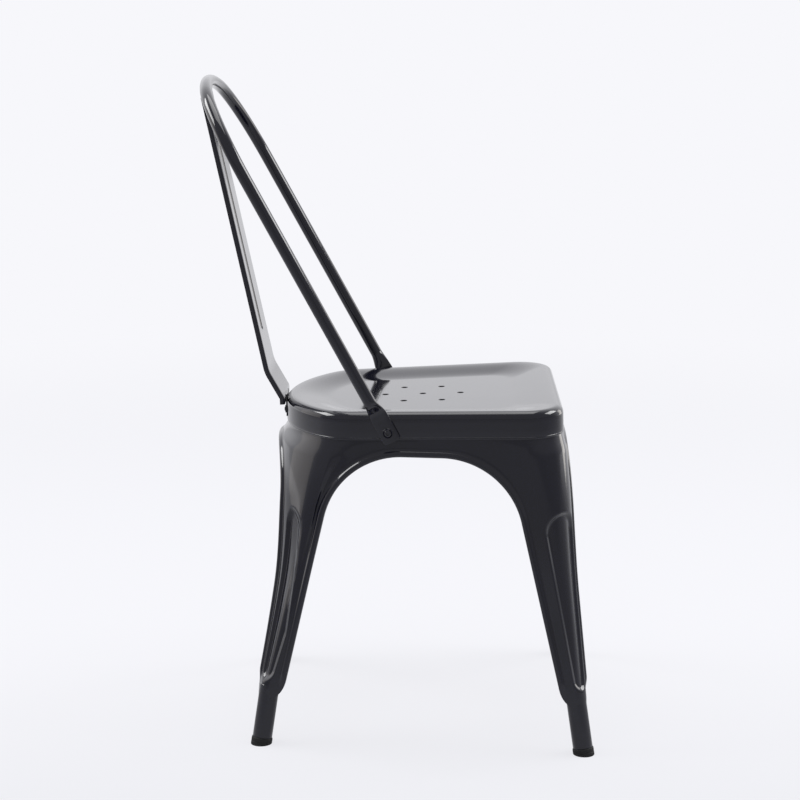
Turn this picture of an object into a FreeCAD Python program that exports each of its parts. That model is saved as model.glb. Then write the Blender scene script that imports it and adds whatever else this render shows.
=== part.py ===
import FreeCAD, Part
import Sketcher
import os
import re
from math import atan2, cos, radians, sin, sqrt, tan
from FreeCAD import Placement, Rotation, Vector

# Metal bistro chair, a stacking chair of pressed sheet steel.
# +Z up, the chair faces -Y, the floor is z = 0, left is the sitter's left, +X.
# The seat and the back share one frame that is tipped back by seat_tilt about X.
# Sizes written as text, such as "glide_lip / 2", are read from the sheet.

doc = FreeCAD.newDocument("bistro_chair")
sheet = doc.addObject("Spreadsheet::Sheet", "sheet")

# Driving dimensions in millimetres and degrees.
SIZES = {
    # seat pan
    "seat_height": 440.0,
    "seat_tilt": 1.7,
    "seat_front": 180.5,
    "seat_rear": 182.5,
    "seat_half": 164.3,
    "seat_taper": 5.85,
    "front_corner": 49.0,
    "rear_corner": 70.0,
    "back_curve": 200.0,
    "rim_radius": 10.0,
    "skirt_depth": 34.0,
    "pan_thick": 1.2,
    "dish_depth": 8.0,
    "dish_rim": 13.0,
    "dish_run": 34.0,
    "cove_radius": 40.0,
    "drain_bore": 8.5,
    "drain_pitch": 50.5,
    "drain_row": 44.5,
    # legs
    "leg_thick": 1.5,
    "fit_gap": 0.2,
    "seam_gap": 0.2,
    "side_seam": 7.0,
    "band_height": 18.0,
    "foot_front": 203.1,
    "foot_rear": 170.4,
    "foot_reach": 209.2,
    "foot_lean_side": 6.8,
    "foot_lean_fore": 8.4,
    "foot_bore": 22.5,
    "foot_tube": 25.5,
    "shell_low": 60.0,
    "shell_margin": 0.4,
    "shell_back_curve": 1200.0,
    "tube_top": 79.0,
    # arches between the legs
    "arch_inset": 33.6,
    "arch_foot": 88.0,
    "arch_angle": 13.0,
    "arch_band": 24.0,
    "arch_step": 25.0,
    "arch_past": 40.0,
    "arch_low": 20.0,
    "arch_side_round": 104.0,
    "arch_front_round": 104.0,
    "arch_rear_round": 78.0,
    # pressed bead along the arch edges and flute down each corner
    "bead_width": 8.6,
    "bead_rise": 3.6,
    "flute_depth": 5.0,
    "flute_inset": 12.7,
    "flute_angle": 11.1,
    "flute_low": 84.0,
    "flute_high": 313.0,
    "flute_top_round": 20.0,
    "flute_foot_round": 11.0,
    # floor glides
    "glide_lip": 27.4,
    "glide_height": 8.5,
    "glide_plug": 24.0,
    "glide_play": 0.2,
    # back hoop
    "hoop_tube": 16.0,
    "hoop_bore": 13.2,
    "hoop_lean": 26.95,
    "hoop_bolt_back": 44.0,
    "hoop_bolt_drop": 25.7,
    "hoop_half": 174.0,
    "hoop_half_top": 170.0,
    "hoop_arm": 367.0,
    "hoop_round": 123.0,
    "hoop_rise": 494.8,
    "tongue_width": 23.0,
    "tongue_thick": 4.4,
    "tongue_end": 13.0,
    "tongue_run": 24.0,
    "tube_start": 50.0,
    # back splat
    "splat_width": 96.0,
    "splat_thick": 1.5,
    "splat_flange": 6.5,
    "splat_knee_back": 201.5,
    "splat_knee_rise": 36.5,
    "splat_bend": 45.0,
    "splat_foot_rise": 0.5,
    "splat_foot_bend": 9.0,
    "splat_tab": 44.0,
    "splat_tab_drop": 31.0,
    "splat_behind": 3.0,
    "panel_width": 34.0,
    "panel_rise": 1.2,
    "panel_low": 95.0,
    "panel_high": 345.0,
    # fasteners
    "bolt_shank": 6.0,
    "bolt_head": 13.0,
    "bolt_dome": 3.4,
    "bolt_play": 0.25,
    "nut_width": 10.0,
    "nut_thick": 5.0,
    "washer_width": 14.0,
    "washer_thick": 1.2,
    "splat_bolt_shank": 5.0,
    "splat_bolt_head": 10.0,
    "splat_bolt_half": 15.0,
    "splat_bolt_drop": 21.0,
    "splat_bolt_dome": 2.8,
    "splat_nut_width": 8.0,
    "splat_nut_thick": 4.0,
    "bolt_spare": 2.0,
    "head_flat": 0.55,
    "drill_reach": 6.0,
    "cut_spare": 5.0,
    # braces under the seat
    "brace_width": 20.0,
    "brace_thick": 3.0,
    "brace_drop": 24.0,
    "brace_lug": 16.0,
    "rivet_shank": 6.0,
    "rivet_head": 12.0,
    "rivet_dome": 2.6,
}

for row, (name, value) in enumerate(SIZES.items(), start=1):
    sheet.set("A%d" % row, name)
    sheet.set("B%d" % row, str(value))
    sheet.setAlias("B%d" % row, name)
doc.recompute()

WORD = re.compile(r"[a-z_]*[a-z]")


def size(name):
    """The value of one driving dimension."""
    return float(getattr(sheet, name))


def bound(text):
    """An expression on the sheet: each driving dimension's name is read from its cell."""
    return WORD.sub(lambda m: "sheet." + m.group(0) if m.group(0) in SIZES else m.group(0), text)


def number(text):
    """The present value of such an expression."""
    value = sheet.evalExpression(bound(text))
    return float(getattr(value, "Value", value))


def joined(*terms):
    return " + ".join("(%s)" % t for t in terms)


# Frames. The whole chair is moved along Y, so that its box is centred on the origin.
CROWN_BACK = ("cos(seat_tilt) * (hoop_bolt_back + hoop_rise * sin(hoop_lean))"
              " + sin(seat_tilt) * (hoop_rise * cos(hoop_lean) - hoop_bolt_drop)")
TOE_REACH = "foot_reach + glide_lip / 2 / cos(foot_lean_fore)"
HOOP_TOP_Y = "hoop_bolt_back + hoop_rise * sin(hoop_lean)"
HOOP_TOP_Z = "hoop_rise * cos(hoop_lean) - hoop_bolt_drop"
REACH_Y = "(%s - splat_knee_back)" % HOOP_TOP_Y
REACH_Z = "(%s - splat_knee_rise)" % HOOP_TOP_Z
REACH = "sqrt(%s ^ 2 + %s ^ 2)" % (REACH_Y, REACH_Z)
SPLAT_TURN = "(atan(%s / %s) + asin(splat_behind / %s)) / 1 deg" % (REACH_Y, REACH_Z, REACH)
CENTRE_Y = "(%s) / 2 - (%s + hoop_tube / 2) / 2" % (TOE_REACH, CROWN_BACK)
SEAT_TURN = Rotation(Vector(1, 0, 0), -size("seat_tilt"))


def bind_base(obj, **exprs):
    for axis, text in exprs.items():
        obj.setExpression("Placement.Base." + axis, bound(text))


def place_on_floor(obj):
    """For pieces drawn in the floor frame."""
    bind_base(obj, y=CENTRE_Y)


def place_on_seat(obj):
    """For pieces drawn in the seat frame, whose z = 0 is the seat's rim plane."""
    obj.Placement = Placement(Vector(0, 0, size("seat_height")), SEAT_TURN)
    obj.setExpression("Placement.Rotation.Angle", bound("-seat_tilt"))
    bind_base(obj, y=CENTRE_Y, z="seat_height")


# Sketch helpers. Outlines are convex and drawn counter-clockwise.
def line(a, b):
    return Part.LineSegment(Vector(a[0], a[1], 0), Vector(b[0], b[1], 0))


def arc(centre, radius, start, end):
    """A counter-clockwise arc between two angles in radians."""
    circle = Part.Circle(Vector(centre[0], centre[1], 0), Vector(0, 0, 1), radius)
    return Part.ArcOfCircle(circle, start, end)


def spot(centre, radius, angle):
    return (centre[0] + radius * cos(angle), centre[1] + radius * sin(angle))


def chain(sketch, parts, smooth):
    """Add a closed chain of edges; smooth lists the joints, by their first edge, that are tangent."""
    first = sketch.GeometryCount
    for part in parts:
        sketch.addGeometry(part, False)
    count = len(parts)
    for i in range(count):
        kind = "Tangent" if i in smooth else "Coincident"
        sketch.addConstraint(Sketcher.Constraint(kind, first + i, 2, first + (i + 1) % count, 1))
    return first


def dim(sketch, kind, *args):
    """A dimension bound to an expression, its last argument."""
    text = args[-1]
    value = radians(number(text)) if kind == "Angle" else number(text)
    index = sketch.addConstraint(Sketcher.Constraint(kind, *args[:-1], value))
    sketch.setExpression("Constraints[%d]" % index, bound(text))
    return index


def rule(sketch, *args):
    sketch.addConstraint(Sketcher.Constraint(*args))


def pin(sketch, geo, pos, x, y):
    """Fix a point of a sketch at two bound coordinates from the sketch's origin."""
    for kind, text in (("DistanceX", x), ("DistanceY", y)):
        if text == "0":
            axis = -2 if kind == "DistanceX" else -1
            rule(sketch, "PointOnObject", geo, pos, axis)
        else:
            dim(sketch, kind, -1, 1, geo, pos, text)


def polygon(sketch, corners):
    """A closed convex outline through bound corners (x, y) or (x, y, round), counter-clockwise."""
    points = [(number(c[0]), number(c[1])) for c in corners]
    rounds = [number(c[2]) if len(c) > 2 else 0 for c in corners]
    count = len(points)
    ends = []
    for i, (x, y) in enumerate(points):
        ax, ay = points[i - 1]
        bx, by = points[(i + 1) % count]
        la, lb = sqrt((ax - x) ** 2 + (ay - y) ** 2), sqrt((bx - x) ** 2 + (by - y) ** 2)
        ua, ub = ((ax - x) / la, (ay - y) / la), ((bx - x) / lb, (by - y) / lb)
        half = 0.5 * abs(atan2(ua[0] * ub[1] - ua[1] * ub[0], ua[0] * ub[0] + ua[1] * ub[1]))
        cut = rounds[i] / tan(half)
        ends.append(((x + ua[0] * cut, y + ua[1] * cut), (x + ub[0] * cut, y + ub[1] * cut), ua, ub, half))
    parts, smooth, lines, arcs = [], [], {}, {}
    for i in range(count):
        if rounds[i]:
            start, end, ua, ub, half = ends[i]
            middle = (ua[0] + ub[0], ua[1] + ub[1])
            scale = rounds[i] / sin(half) / sqrt(middle[0] ** 2 + middle[1] ** 2)
            centre = (points[i][0] + middle[0] * scale, points[i][1] + middle[1] * scale)
            a = atan2(start[1] - centre[1], start[0] - centre[0])
            b = atan2(end[1] - centre[1], end[0] - centre[0])
            arcs[i] = len(parts)
            smooth += [len(parts) - 1, len(parts)]
            parts.append(arc(centre, rounds[i], a, b))
        lines[i] = len(parts)
        parts.append(line(ends[i][1], ends[(i + 1) % count][0]))
    smooth = [s % len(parts) for s in smooth]
    chain(sketch, parts, smooth)
    for i, corner in enumerate(corners):
        if i in arcs:
            mark = sketch.addGeometry(Part.Point(Vector(points[i][0], points[i][1], 0)), True)
            pin(sketch, mark, 1, corner[0], corner[1])
            rule(sketch, "PointOnObject", mark, 1, lines[(i - 1) % count])
            rule(sketch, "PointOnObject", mark, 1, lines[i])
            dim(sketch, "Radius", arcs[i], corner[2])
        else:
            pin(sketch, lines[i], 1, corner[0], corner[1])


def side_x(y):
    """Half width of the seat's tapered side at y, in its frame."""
    return "seat_half - tan(seat_taper) * (%s)" % y


def tangent_centre(reach, slope, back, inner):
    """Centre of the circle tangent to a side line and, from inside, to the back curve.

    reach is the x of the line parallel to the side through the centre, at y = 0.
    """
    low, high = back, back + inner
    for _ in range(60):
        y = (low + high) / 2
        x = reach - slope * y
        if x * x + (y - back) ** 2 < inner * inner:
            low = y
        else:
            high = y
    return (reach - slope * low, low)


def plan_outline(sketch, inset):
    """The seat's plan: straight front, tapered sides, curved back and four round corners."""
    off, taper = number(inset), radians(size("seat_taper"))
    front, rear = -size("seat_front"), size("seat_rear")
    rf, rr, rb = size("front_corner") - off, size("rear_corner") - off, size("back_curve") - off
    back = rear - size("back_curve")
    yf = front + size("front_corner")
    cf = (size("seat_half") - tan(taper) * yf - size("front_corner") / cos(taper), yf)
    reach = size("seat_half") - size("rear_corner") / cos(taper)
    cr = tangent_centre(reach, tan(taper), back, size("back_curve") - size("rear_corner"))
    turn = atan2(cr[1] - back, cr[0])
    down, left = -radians(90), radians(180)
    parts = [
        line((-cf[0], front + off), (cf[0], front + off)),
        arc(cf, rf, down, taper),
        line(spot(cf, rf, taper), spot(cr, rr, taper)),
        arc(cr, rr, taper, turn),
        arc((0, back), rb, turn, left - turn),
        arc((-cr[0], cr[1]), rr, left - turn, left - taper),
        line(spot((-cr[0], cr[1]), rr, left - taper), spot((-cf[0], cf[1]), rf, left - taper)),
        arc((-cf[0], cf[1]), rf, left - taper, left - down),
    ]
    chain(sketch, parts, range(8))
    rule(sketch, "Horizontal", 0)
    dim(sketch, "DistanceY", 0, 1, -1, 1, joined("seat_front", "-(%s)" % inset))
    for index in (1, 7):
        dim(sketch, "Radius", index, joined("front_corner", "-(%s)" % inset))
    for index in (3, 5):
        dim(sketch, "Radius", index, joined("rear_corner", "-(%s)" % inset))
    dim(sketch, "Radius", 4, joined("back_curve", "-(%s)" % inset))
    rule(sketch, "PointOnObject", 4, 3, -2)
    dim(sketch, "DistanceY", 4, 3, -1, 1, "back_curve - seat_rear")
    reach_text = "seat_half - (%s) / cos(seat_taper)" % inset
    for index, sign in ((2, 1), (6, -1)):
        x = sign * number(reach_text)
        mark = sketch.addGeometry(Part.Point(Vector(x, 0, 0)), True)
        rule(sketch, "PointOnObject", mark, 1, -1)
        rule(sketch, "PointOnObject", mark, 1, index)
        ends = (-1, 1, mark, 1) if sign > 0 else (mark, 1, -1, 1)
        dim(sketch, "DistanceX", *ends, reach_text)
        dim(sketch, "Angle", index, "90 + seat_taper" if sign > 0 else "-90 - seat_taper")


# Document helpers.
def add(kind, name, label=None, **values):
    obj = doc.addObject(kind, name)
    if label:
        obj.Label = label
    for key, value in values.items():
        setattr(obj, key, value)
    return obj


def body(name, placer=None):
    obj = add("PartDesign::Body", name, name)
    if placer:
        placer(obj)
    return obj


def origin_plane(owner, role):
    return [f for f in owner.Origin.OriginFeatures if f.Role == role][0]


def sketch_on(owner, name, role="XY_Plane", lift=None, turn=None):
    """A sketch on a plane of its body, lifted along the plane's normal."""
    sketch = owner.newObject("Sketcher::SketchObject", name)
    sketch.AttachmentSupport = [(origin_plane(owner, role), "")]
    sketch.MapMode = "FlatFace"
    if turn is not None:
        sketch.AttachmentOffset = turn
    if lift:
        sketch.setExpression("AttachmentOffset.Base.z", bound(lift))
    return sketch


def feature(owner, kind, name, **values):
    obj = owner.newObject("PartDesign::" + kind, name)
    for key, value in values.items():
        setattr(obj, key, value)
    return obj


def length(obj, key, text):
    obj.setExpression(key, bound(text))
    setattr(obj, key, number(text))


CLOSE = 0.01


def edges_where(shape, test):
    return ["Edge%d" % (i + 1) for i, e in enumerate(shape.Edges) if test(e)]


def middle(edge):
    return edge.valueAt((edge.FirstParameter + edge.LastParameter) / 2)


# Seat pan: one pressing with a rolled rim, a shallow dish, drain holes and a plain skirt.
def pan_form(owner, name, sink):
    """The pan's outside, or with a sink the same form moved in by the sheet's thickness."""
    drop = -number(sink)
    depth = drop - size("dish_depth")

    def flat_edges(shape, level, extra=lambda e: True):
        def is_flat(edge):
            return abs(middle(edge).z - level) < CLOSE and edge.BoundBox.ZLength < CLOSE

        return edges_where(shape, lambda e: is_flat(e) and extra(e))

    outline = sketch_on(owner, name + "_outline", lift=joined("0", "-(%s)" % sink))
    plan_outline(outline, sink)
    block = feature(owner, "Pad", name + "_block", Profile=outline, Reversed=True)
    length(block, "Length", "skirt_depth")
    doc.recompute()
    rim = feature(owner, "Fillet", name + "_rim")
    rim.Base = (block, flat_edges(block.Shape, drop))
    length(rim, "Radius", joined("rim_radius", "-(%s)" % sink))
    top = sketch_on(owner, name + "_dish_top", lift=joined("0", "-(%s)" % sink))
    plan_outline(top, "dish_rim")
    floor = sketch_on(owner, name + "_dish_floor", lift=joined("-dish_depth", "-(%s)" % sink))
    plan_outline(floor, "dish_rim + dish_run")
    dish = feature(owner, "SubtractiveLoft", name + "_dish", Profile=top, Sections=[floor], Ruled=True)
    doc.recompute()
    crest = feature(owner, "Fillet", name + "_crest")
    crest.Base = (dish, flat_edges(dish.Shape, drop, lambda e: not on_rim(e)))
    length(crest, "Radius", joined("rim_radius", "-(%s)" % sink))
    doc.recompute()
    cove = feature(owner, "Fillet", name + "_cove")
    cove.Base = (crest, flat_edges(crest.Shape, depth))
    length(cove, "Radius", joined("cove_radius", sink))
    doc.recompute()
    return cove


def seat_pan():
    core = body("pan_core")
    pan_form(core, "core", "pan_thick")
    pan = body("seat_pan", place_on_seat)
    pan_form(pan, "pan", "0")
    hollow = feature(pan, "Boolean", "pan_sheet", Type="Cut")
    hollow.setObjects([core])
    doc.recompute()
    return pan


def on_rim(edge):
    """True for the outer edge of the flat crest, which the rim fillet leaves."""
    p = middle(edge)
    inset = (size("rim_radius") + size("dish_rim")) / 2
    front = -size("seat_front") + inset
    half = size("seat_half") - tan(radians(size("seat_taper"))) * p.y - inset
    back = size("seat_rear") - size("back_curve")
    behind = p.y > 0 and sqrt(p.x ** 2 + (p.y - back) ** 2) > size("back_curve") - inset
    return p.y < front or abs(p.x) > half or behind


# Places that several pieces share.
def wall_frame(side):
    """On the skirt's outer face at the hoop bolt; z points out of the wall and y up."""
    y = size("hoop_bolt_back")
    point = Vector(side * number(side_x("hoop_bolt_back")), y, -size("hoop_bolt_drop"))
    theta = radians(size("seat_taper"))
    out = Vector(side * cos(theta), sin(theta), 0)
    up = Vector(0, 0, 1)
    return Placement(point, Rotation(up.cross(out), up, out, "ZYX"))


def rear_frame(side):
    """On the skirt's rear face at a splat bolt; z points to the rear and y up."""
    x = side * size("splat_bolt_half")
    radius = size("back_curve")
    y = size("seat_rear") - radius + sqrt(radius ** 2 - x ** 2)
    out = Vector(x / radius, sqrt(radius ** 2 - x ** 2) / radius, 0)
    up = Vector(0, 0, 1)
    return Placement(Vector(x, y, -size("splat_bolt_drop")), Rotation(up.cross(out), up, out, "ZYX"))


def drill(owner, name, frame, bore):
    """A round hole through a thin wall, along the z of a frame."""
    hole = feature(owner, "SubtractiveCylinder", name)
    hole.AttachmentSupport = [(origin_plane(owner, "XY_Plane"), "")]
    hole.MapMode = "FlatFace"
    hole.AttachmentOffset = frame.multiply(Placement(Vector(0, 0, -size("drill_reach")), Rotation()))
    length(hole, "Radius", "(%s) / 2" % bore)
    length(hole, "Height", "2 * drill_reach")
    return hole


def pan_holes(pan):
    holes = sketch_on(pan, "drain_circles")
    for row in (-1, 0, 1):
        for place in range(-1, 2) if row == 0 else (-0.5, 0.5):
            x, y = "%d * drain_row" % row, "%g * drain_pitch" % place
            circle = Part.Circle(Vector(number(x), number(y), 0), Vector(0, 0, 1), number("drain_bore") / 2)
            index = holes.addGeometry(circle, False)
            pin(holes, index, 3, "0" if row == 0 else x, "0" if place == 0 else y)
            dim(holes, "Diameter", index, "drain_bore")
    cut = feature(pan, "Pocket", "drain_holes", Profile=holes, Type=1)
    doc.recompute()
    for side, word in ((1, "left"), (-1, "right")):
        drill(pan, "hoop_hole_" + word, wall_frame(side), "bolt_shank + 2 * bolt_play")
        drill(pan, "splat_hole_" + word, rear_frame(side), "splat_bolt_shank + 2 * bolt_play")
    return cut


# Legs: one pressing each. The sheet follows the seat's plan at the top and closes round
# the foot tube at the bottom, so each leg is a tapered corner between an outer and an
# inner loft, cut by the arches. Raised beads and the flute are the same two lofts moved
# out or in, so that the sheet keeps its thickness.
TOP_INSET = "pan_thick + fit_gap"
LOW_Y = "foot_reach - tan(foot_lean_fore) * shell_low"
LOW_TURN = "atan((foot_front - foot_rear) / (2 * (%s))) / 1 deg" % LOW_Y
WIDE = 600


def foot_x(corner):
    return "foot_" + corner


def leg_section(corner, level, grow, spare):
    """Plan of one leg's corner block at the skirt's lower edge or near the floor."""
    sketch = add("Sketcher::SketchObject", "%s_%s_section" % (corner, level))
    top = level == "top"
    if top:
        sketch.Placement = Placement(Vector(), SEAT_TURN)
        sketch.setExpression("Placement.Rotation.Angle", bound("-seat_tilt"))
        bind_base(sketch, y="-skirt_depth * sin(seat_tilt)", z="seat_height - skirt_depth * cos(seat_tilt)")
    else:
        bind_base(sketch, z="shell_low")
    start = joined("seam_gap / 2", "-(%s)" % spare)
    sign = -1 if corner == "front" else 1
    seam = joined("side_seam", "%d * (%s)" % (sign, start))
    low_x = "%s - tan(foot_lean_side) * shell_low" % foot_x(corner)
    low_r = joined("foot_tube / 2 + shell_margin", grow)
    turn = "seat_taper" if top else LOW_TURN
    theta = radians(number(turn))
    x0, ys = number(start), number(seam)
    if corner == "front":
        cy = "front_corner - seat_front" if top else "-(%s)" % LOW_Y
        cx = "seat_half - tan(seat_taper) * (%s) - front_corner / cos(seat_taper)" % cy if top else low_x
        radius = joined("front_corner", "-(%s)" % TOP_INSET, grow) if top else low_r
        c, r = (number(cx), number(cy)), number(radius)
        end = spot(c, r, theta)
        side_end = (end[0] - tan(theta) * (ys - end[1]), ys)
        parts = [
            line((x0, c[1] - r), (c[0], c[1] - r)),
            arc(c, r, -radians(90), theta),
            line(end, side_end),
            line(side_end, (x0, ys)),
            line((x0, ys), (x0, c[1] - r)),
        ]
        chain(sketch, parts, (0, 1))
        rule(sketch, "Horizontal", 0)
        rule(sketch, "Horizontal", 3)
        rule(sketch, "Vertical", 4)
        pin(sketch, 1, 3, cx, cy)
        dim(sketch, "Radius", 1, radius)
        dim(sketch, "Angle", 2, "90 + " + turn)
        pin(sketch, 3, 2, start, seam)
        return sketch
    # rear corner: side line, corner arc, gently curved back
    back_r = joined("back_curve", "-(%s)" % TOP_INSET, grow) if top else joined("shell_back_curve", grow)
    radius = joined("rear_corner", "-(%s)" % TOP_INSET, grow) if top else low_r
    rb, r = number(back_r), number(radius)
    if top:
        back_y = number("seat_rear - back_curve")
        reach = size("seat_half") - size("rear_corner") / cos(theta)
        c = tangent_centre(reach, tan(theta), back_y, size("back_curve") - size("rear_corner"))
    else:
        c = (number(low_x), number(LOW_Y))
        back_y = c[1] - sqrt((rb - r) ** 2 - c[0] ** 2)
    bend = atan2(c[1] - back_y, c[0])
    end = spot(c, r, theta)
    side_start = (end[0] - tan(theta) * (ys - end[1]), ys)
    last = atan2(sqrt(rb ** 2 - x0 ** 2), x0)
    crown = spot((0, back_y), rb, last)
    parts = [
        line((x0, ys), side_start),
        line(side_start, end),
        arc(c, r, theta, bend),
        arc((0, back_y), rb, bend, last),
        line(crown, (x0, ys)),
    ]
    chain(sketch, parts, (1, 2))
    rule(sketch, "Horizontal", 0)
    rule(sketch, "Vertical", 4)
    rule(sketch, "PointOnObject", 3, 3, -2)
    dim(sketch, "Radius", 3, back_r)
    dim(sketch, "Radius", 2, radius)
    dim(sketch, "Angle", 1, "90 + " + turn)
    pin(sketch, 0, 1, start, seam)
    if top:
        dim(sketch, "DistanceY", 3, 3, -1, 1, "back_curve - seat_rear")
        reach_text = "seat_half - (%s) / cos(seat_taper)" % joined(TOP_INSET, "-(%s)" % grow)
        mark = sketch.addGeometry(Part.Point(Vector(number(reach_text), 0, 0)), True)
        rule(sketch, "PointOnObject", mark, 1, -1)
        rule(sketch, "PointOnObject", mark, 1, 1)
        dim(sketch, "DistanceX", -1, 1, mark, 1, reach_text)
    else:
        pin(sketch, 2, 3, low_x, LOW_Y)
    return sketch


def leg_block(corner, grow, spare="0"):
    """The corner block: a ruled loft up to the skirt and a straight band inside it."""
    low = leg_section(corner, "low", grow, spare)
    top = leg_section(corner, "top", grow, spare)
    loft = add("Part::Loft", corner + "_loft", Sections=[low, top], Solid=True, Ruled=True)
    return loft, top


def leg_band(corner, top, reach):
    band = add("Part::Extrusion", corner + "_band", Base=top, DirMode="Normal", Solid=True)
    length(band, "LengthFwd", reach)
    return band


def prism(name, axis, corners, flip):
    """A long prism along X or Y through a bound outline given as (out, up) points."""
    if flip:
        corners = [("-(%s)" % c[0],) + tuple(c[1:]) for c in reversed(corners)]
    turn = Rotation(Vector(1, 1, 1), 120) if axis == "x" else Rotation(Vector(1, 0, 0), 90)
    sketch = add("Sketcher::SketchObject", name + "_outline", Placement=Placement(Vector(), turn))
    polygon(sketch, corners)
    return add("Part::Extrusion", name, Base=sketch, DirMode="Normal", Solid=True, Symmetric=True,
               LengthFwd=WIDE)


def arch_top(y):
    return "seat_height - skirt_depth * cos(seat_tilt) - (%s) * sin(seat_tilt) - arch_band" % y


def arch_corners(foot, top, bend, grow):
    """The arch opening from its middle out to the leg; grown outlines stop above the foot."""
    past = "-arch_past"
    edge = joined(foot, "-arch_inset", "(%s) / cos(arch_angle)" % grow)
    if grow == "0":
        tube_line = "%s - tan(foot_lean_fore) * shell_low" % foot
        foot_end = [(past, "arch_low"), (tube_line, "arch_low"), (tube_line, "shell_low"),
                    (edge, "arch_foot")]
    else:
        rise = "bead_width"
        foot_end = [(past, "arch_foot + " + rise),
                    (joined(edge, "-tan(arch_angle) * (%s)" % rise), "arch_foot + " + rise)]
    high = joined(top, grow)
    corner = joined(edge, "-tan(arch_angle) * (%s - arch_foot)" % high)
    return foot_end + [(corner, high, joined(bend, grow)), (past, high)]


def arches(corner, grow):
    """The side arch and the front or rear arch of one leg, as prisms."""
    front = corner == "front"
    side_bend, end_bend = "arch_side_round", "arch_%s_round" % corner
    side_top = arch_top("%d * arch_step" % (-1 if front else 1))
    end_top = arch_top("-seat_front" if front else "seat_rear")
    side = prism(corner + "_side_arch", "x", arch_corners("foot_reach", side_top, side_bend, grow), front)
    end = prism(corner + "_end_arch", "y", arch_corners(foot_x(corner), end_top, end_bend, grow), False)
    return side, end


def flute_corners(foot, grow):
    edge = joined(foot, "-flute_inset", "tan(flute_angle) * (%s)" % grow, "-(%s) / cos(flute_angle)" % grow)
    low, high = joined("flute_low", "-(%s)" % grow), joined("flute_high", grow)
    top = joined(edge, "-tan(flute_angle) * (%s - %s)" % (high, low))
    far = "foot_reach + flute_inset + flute_high"
    return [(edge, low, joined("flute_foot_round", grow)), (far, low), (far, high),
            (top, high, joined("flute_top_round", grow))]


def flute_region(corner, grow):
    side = prism(corner + "_side_flute", "x", flute_corners("foot_reach", grow), corner == "front")
    end = prism(corner + "_end_flute", "y", flute_corners(foot_x(corner), grow), False)
    return add("Part::MultiCommon", corner + "_flute_region", Shapes=[side, end])


def cut(name, base, tool):
    return add("Part::Cut", name, Base=base, Tool=tool)


def common(name, one, two):
    return add("Part::MultiCommon", name, Shapes=[one, two])


def fuse(name, *shapes):
    return add("Part::MultiFuse", name, Shapes=list(shapes))


def foot_axis(corner):
    """The foot tube's frame: origin on the floor, z up along the tube."""
    y = -size("foot_reach") if corner == "front" else size("foot_reach")
    fore = tan(radians(size("foot_lean_fore")))
    rise = Vector(-tan(radians(size("foot_lean_side"))), fore if corner == "front" else -fore, 1)
    return Placement(Vector(size(foot_x(corner)), y, 0), Rotation(Vector(0, 0, 1), rise))


def rod(name, frame, lift, diameter, height):
    """A cylinder along a frame's z, from a bound distance above its origin."""
    obj = add("Part::Cylinder", name)
    length(obj, "Radius", "(%s) / 2" % diameter)
    length(obj, "Height", height)
    obj.Placement = frame.multiply(Placement(Vector(0, 0, number(lift)), Rotation()))
    return obj


def leg(corner):
    """The left leg of the front or rear pair, as one solid."""
    past = "cut_spare"
    outer, outer_top = leg_block(corner, "0")
    inner, inner_top = leg_block(corner, "-leg_thick", past)
    raised, _ = leg_block(corner, "bead_rise")
    raised_inner, _ = leg_block(corner, "bead_rise - leg_thick", past)
    sunk, _ = leg_block(corner, "-flute_depth")
    sunk_inner, _ = leg_block(corner, "-flute_depth - leg_thick", past)
    band = leg_band(corner, outer_top, "band_height")
    band_inner = leg_band(corner, inner_top, "band_height + " + past)
    bead = fuse(corner + "_bead_region", *arches(corner, "bead_width"))
    bead_far = arches(corner, "bead_width - leg_thick")
    bead_near = arches(corner, "leg_thick")
    bead_inner = fuse(corner + "_bead_inner", *[cut("bead_ring", a, b) for a, b in zip(bead_far, bead_near)])
    flute, flute_inner = flute_region(corner, "0"), flute_region(corner, "leg_thick")
    skin = fuse(corner + "_skin", cut("outer_less_flute", fuse("outer_body", outer, band), flute),
                common("flute_floor", sunk, flute), common("bead_crown", raised, bead))
    core = fuse(corner + "_core", cut("inner_less_flute", fuse("inner_body", inner, band_inner), flute_inner),
                common("flute_back", sunk_inner, flute_inner), common("bead_back", raised_inner, bead_inner))
    shell = cut(corner + "_shell", skin, core)
    for arch in arches(corner, "0"):
        shell = cut(corner + "_shell", shell, arch)
    axis = foot_axis(corner)
    tube_outside = rod("tube_outside", axis, "glide_height", "foot_tube", "tube_top - glide_height")
    tube = cut(corner + "_tube", tube_outside, rod("tube_inside", axis, "0", "foot_bore", "2 * tube_top"))
    whole = fuse(corner + "_leg", shell, tube)
    if corner == "rear":
        bolts = (("hoop", wall_frame(1), "bolt_shank"), ("splat", rear_frame(1), "splat_bolt_shank"))
        for name, frame, shank in bolts:
            bore = shank + " + 2 * bolt_play"
            hole = rod(name + "_leg_hole", seat_to_floor(frame), "-drill_reach", bore, "drill_reach")
            whole = cut(corner + "_drilled", whole, hole)
    return whole


def seat_to_floor(frame):
    """A seat-frame place in the floor frame."""
    return Placement(Vector(0, 0, size("seat_height")), SEAT_TURN).multiply(frame)


def legs():
    made = []
    for corner in ("front", "rear"):
        left = leg(corner)
        left.Label = "leg_%s_left" % corner
        place_on_floor(left)
        right = add("Part::Mirroring", corner + "_right", "leg_%s_right" % corner, Source=left,
                    Normal=Vector(1, 0, 0))
        made += [left, right]
    return made


def seat_left(obj, label):
    obj.Label = label
    place_on_seat(obj)
    return obj


def pair(label, make):
    """Two identical fasteners, left and right, as separate solids of one piece."""
    both = [make(side, word) for side, word in ((1, "left"), (-1, "right"))]
    return seat_left(add("Part::Compound", label + "_pair", Links=both), label)


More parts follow.
